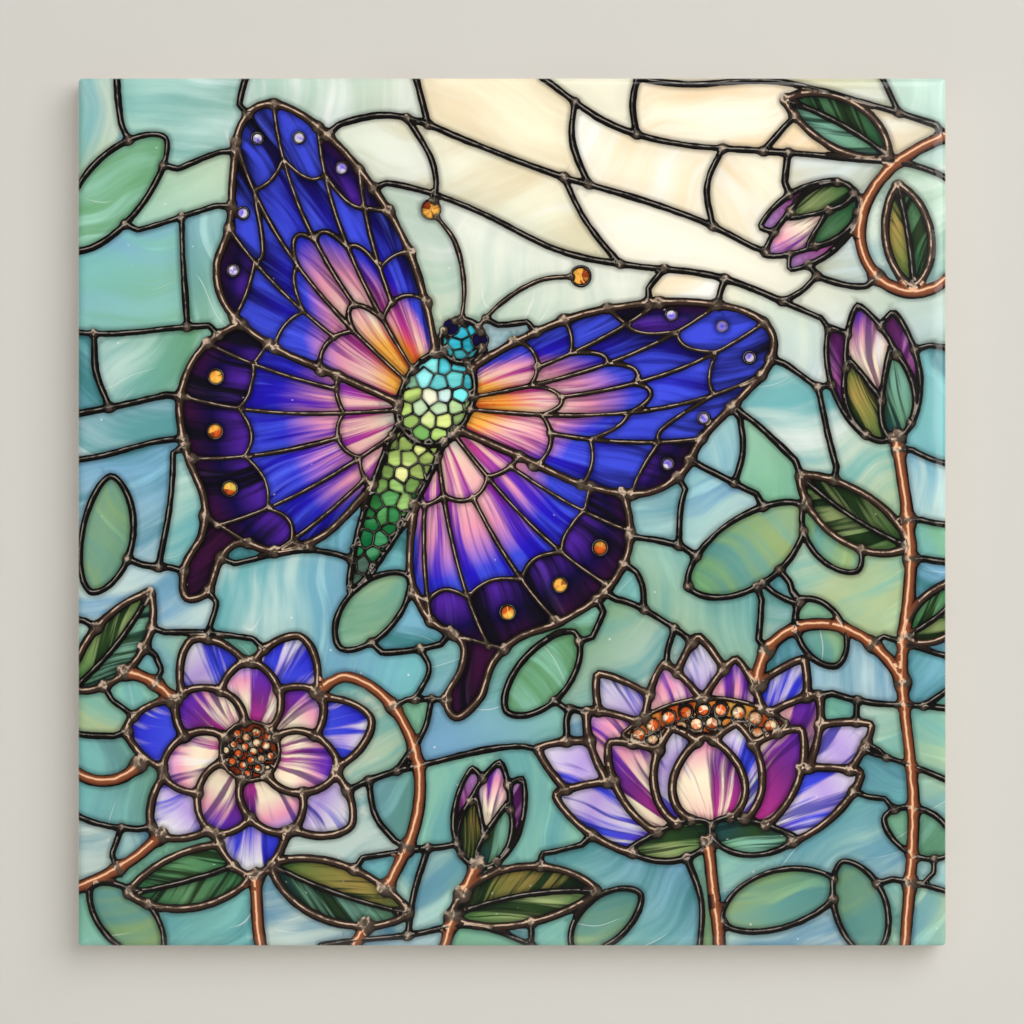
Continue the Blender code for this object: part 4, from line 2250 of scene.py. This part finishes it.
@dataclass
class PressedBody:
    """The clay body: plain sides, and a back with sunk squares between ribs."""

    square: float = 11.0
    rib: float = 3.2
    least_border: float = 5.5
    depth: float = 0.8
    draft: float = 25.0
    corner: float = 1.6
    gap: float = 0.02
    name: str = "pressed_body"

    @property
    def columns(self) -> int:
        """How many sunk squares lie side by side."""
        field_width = SIDE - 2 * self.least_border + self.rib
        return 2 * math.floor(field_width / (self.square + self.rib) / 2)

    def blank(self) -> bpy.types.Mesh:
        """The body before its squares are sunk."""
        front, back = EASE_DROP + self.gap, THICKNESS - BACK_CHAMFER
        levels = ((0.0, front), (0.0, back), (BACK_CHAMFER, THICKNESS))
        return lofted("blank", [to_space(outline_ring(inset, HALF), depth) for inset, depth in levels])

    def pan(self) -> bpy.types.Mesh:
        """Makes the tool that sinks one square: drafted sides, a rounded floor and a rounded lip.

        Returns:
            The tool's mesh.
        """
        slope = math.tan(math.radians(self.draft))
        half = self.square / 2
        profile = [
            (half - self.depth * slope - 0.55, -self.depth),
            (half - self.depth * slope - 0.18, -self.depth + 0.05),
            (half - self.depth * slope + 0.08, -self.depth + 0.22),
            (half - 0.12 * slope - 0.05, -0.16),
            (half + 0.08, -0.03),
            (half + 0.30, 0.02),
            (half + 0.60, 0.60),
        ]
        rings: list[list[tuple]] = []
        for reach, height in profile:
            rings.append([])
            for corner in range(4):
                turn = direction(90 * corner) + direction(90 * corner + 90)
                for step in range(6):
                    bend = direction(90 * corner + 18 * step) * self.corner
                    spot = turn * (reach - self.corner) + bend
                    rings[-1].append((spot[0] * MM, height * MM, spot[1] * MM))
        return lofted("pan", rings)

    def tree(self, material: bpy.types.Material) -> bpy.types.GeometryNodeTree:
        """Makes geometry nodes that sink one square at each crossing of a grid.

        Args:
            material: The clay's finish.

        Returns:
            The node tree.
        """
        tree = bpy.data.node_groups.new("sunk_squares", "GeometryNodeTree")
        tree.interface.new_socket("Geometry", in_out="INPUT", socket_type="NodeSocketGeometry")
        inputs = {"Pan": "NodeSocketObject", "Columns": "NodeSocketInt", "Pitch": "NodeSocketFloat"}
        for name, kind in inputs.items():
            tree.interface.new_socket(name, in_out="INPUT", socket_type=kind)
        tree.interface.new_socket("Geometry", in_out="OUTPUT", socket_type="NodeSocketGeometry")
        wires = Wires(tree)
        given = wires.node("NodeGroupInput").outputs
        columns = given["Columns"]
        reach = wires.times(wires.minus(columns, 1.0), given["Pitch"])
        spread = {"Size X": reach, "Size Y": reach, "Vertices X": columns, "Vertices Y": columns}
        grid = wires.node("GeometryNodeMeshGrid", spread).outputs["Mesh"]
        stand = {"Geometry": grid, "Rotation": (math.radians(90), 0, 0)}
        upright = wires.node("GeometryNodeTransform", stand).outputs["Geometry"]
        pan = wires.node("GeometryNodeObjectInfo", {"Object": given["Pan"]}).outputs["Geometry"]
        copies = wires.node("GeometryNodeInstanceOnPoints", {"Points": upright, "Instance": pan})
        tools = wires.node("GeometryNodeRealizeInstances", {"Geometry": copies.outputs["Instances"]})
        sunk = {"Mesh 1": given["Geometry"], "Mesh 2": tools.outputs["Geometry"]}
        cut = wires.node("GeometryNodeMeshBoolean", sunk, operation="DIFFERENCE", solver="EXACT")
        neat = {"quad_method": "BEAUTY", "ngon_method": "BEAUTY"}
        whole = wires.node("GeometryNodeTriangulate", {"Mesh": cut.outputs["Mesh"]}, **neat)
        dress = {"Geometry": whole.outputs["Mesh"], "Material": material}
        coat = wires.node("GeometryNodeSetMaterial", dress)
        wires.node("NodeGroupOutput", {"Geometry": coat.outputs["Geometry"]})
        return tree

    def build(self, material: bpy.types.Material) -> bpy.types.Object:
        """Builds the body as one closed mesh.

        Args:
            material: The clay's finish.

        Returns:
            The piece.
        """
        tool, rough = added("pan", self.pan()), added("blank", self.blank())
        sink = rough.modifiers.new("sunk_squares", "NODES")
        sink.node_group = self.tree(material)
        values = {"Pan": tool, "Columns": self.columns, "Pitch": (self.square + self.rib) * MM}
        for item in sink.node_group.interface.items_tree:
            if item.in_out == "INPUT" and item.name in values:
                sink[item.identifier] = values[item.name]
        ready = rough.evaluated_get(bpy.context.evaluated_depsgraph_get())
        data = bpy.data.meshes.new_from_object(ready)
        data.name = self.name
        if not data.materials:
            data.materials.append(material)
        data.shade_smooth()
        data.set_sharp_from_angle(angle=math.radians(42))
        piece = added(self.name, data)
        for helper in (rough, tool):
            bpy.data.objects.remove(helper)
        LOG.info("%s: %d sunk squares, %d faces", self.name, self.columns**2, len(data.polygons))
        return piece


@dataclass
class Studio:
    """A pale wall behind the tile, a pale floor below it, soft light and a straight-on camera."""

    wall_gap: float = 0.0004
    lens: float = 150.0
    frame_pixels: float = 1024.0
    tile_pixels: float = 868.0
    rough: float = 0.9
    gloss: float = 0.1

    def card(self, name: str, size: float, matrix: Matrix, colour: tuple, one_sided: bool) -> None:
        """Adds a large flat backdrop.

        Args:
            name: Its name.
            size: Its width in metres.
            matrix: Its place.
            colour: Its colour.
            one_sided: Whether it is clear from behind and casts no shadow.
        """
        mesh = bmesh.new()
        bmesh.ops.create_grid(mesh, x_segments=1, y_segments=1, size=size / 2)
        mesh.transform(matrix)
        data = bpy.data.meshes.new(name)
        mesh.to_mesh(data)
        mesh.free()
        wires = Finish(name)
        looks = {"Base Color": (*colour, 1.0), "Roughness": self.rough, "Specular IOR Level": self.gloss}
        for label, value in looks.items():
            wires.link(value, wires.inputs[label])
        if one_sided:
            behind = wires.node("ShaderNodeNewGeometry").outputs["Backfacing"]
            clear = wires.node("ShaderNodeBsdfTransparent").outputs["BSDF"]
            front = wires.shader.outputs["BSDF"]
            pick = wires.node("ShaderNodeMixShader", {0: behind, 1: front, 2: clear}).outputs["Shader"]
            wires.link(pick, wires.tree.nodes["Material Output"].inputs["Surface"])
        data.materials.append(wires.material)
        backdrop = added(name, data)
        backdrop.visible_shadow = not one_sided

    def lamp(
        self, name: str, spot: tuple, power: float, size: float, tint: tuple = (1, 1, 1),
        seen: bool = True,
    ) -> None:
        """Adds a square soft light, turned to the tile.

        Args:
            name: Its name.
            spot: Where it hangs, in metres.
            power: Its power in watts.
            size: Its width in metres.
            tint: Its colour.
            seen: Whether the glaze mirrors it.
        """
        data = bpy.data.lights.new(name, "AREA")
        data.energy = power
        data.size = size
        data.color = tint
        made = added(name, data)
        made.location = spot
        made.rotation_euler = (-Vector(spot)).to_track_quat("-Z", "Y").to_euler()
        made.visible_glossy = seen

    def build(self) -> None:
        """Sets the stage, the lights and the camera."""
        scene = bpy.context.scene
        facing = Matrix.Translation((0, self.wall_gap, 0)) @ Matrix.Rotation(math.radians(90), 4, "X")
        self.card("wall", 3.0, facing, (0.66, 0.645, 0.61), True)
        below = Matrix.Translation((0, 0, -0.30))
        self.card("floor", 6.0, below, (0.66, 0.65, 0.62), False)
        self.lamp("key", (0.66, -1.0, 0.58), 15.2, 1.25, (1.0, 0.985, 0.96))
        self.lamp("fill", (-0.5, -1.2, 0.1), 2.7, 1.2, (0.97, 0.985, 1.0), seen=False)
        self.lamp("back_key", (-0.6, 0.7, 0.5), 6.5, 0.5)
        self.lamp("back_fill", (0.8, 0.9, 0.0), 3.0, 0.9)
        world = scene.world or bpy.data.worlds.new("studio")
        scene.world = world
        world.use_nodes = True
        wires = Wires(world.node_tree)
        shade = world.node_tree.nodes.get("Background") or wires.node("ShaderNodeBackground")
        shade.inputs["Color"].default_value = (0.98, 0.99, 1.0, 1.0)
        glossy = wires.node("ShaderNodeLightPath").outputs["Is Glossy Ray"]
        strength = wires.minus(0.27, wires.times(glossy, 0.19))
        wires.link(strength, shade.inputs["Strength"])
        lens = bpy.data.cameras.new("camera")
        lens.lens = self.lens
        lens.sensor_width = 36.0
        width = SIDE * MM * self.frame_pixels / self.tile_pixels
        distance = self.lens / lens.sensor_width * width
        camera = added("camera", lens)
        camera.location = (0.0, -THICKNESS * MM - distance, 0.0)
        camera.rotation_euler = (math.radians(90), 0.0, 0.0)
        scene.camera = camera
        scene.view_settings.view_transform = "Standard"


def main() -> None:
    """Builds both pieces and the studio."""
    logging.basicConfig(level=logging.INFO, format="%(name)s: %(message)s")
    peel = orange_peel_group()
    body = PressedBody().build(Bisque().material(peel))
    face = PrintedFace(Picture(np.random.default_rng(SEED))).build(GlazedPrint().material(peel))
    for piece, slot in ((body, "bisque_body"), (face, "glazed_print")):
        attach(piece, "root")
        LOG.info("%s: %d triangles", piece.name, sum(len(p.vertices) - 2 for p in piece.data.polygons))
    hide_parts("ceramic_tile")
    Studio().build()


if __name__ == "__main__":
    main()
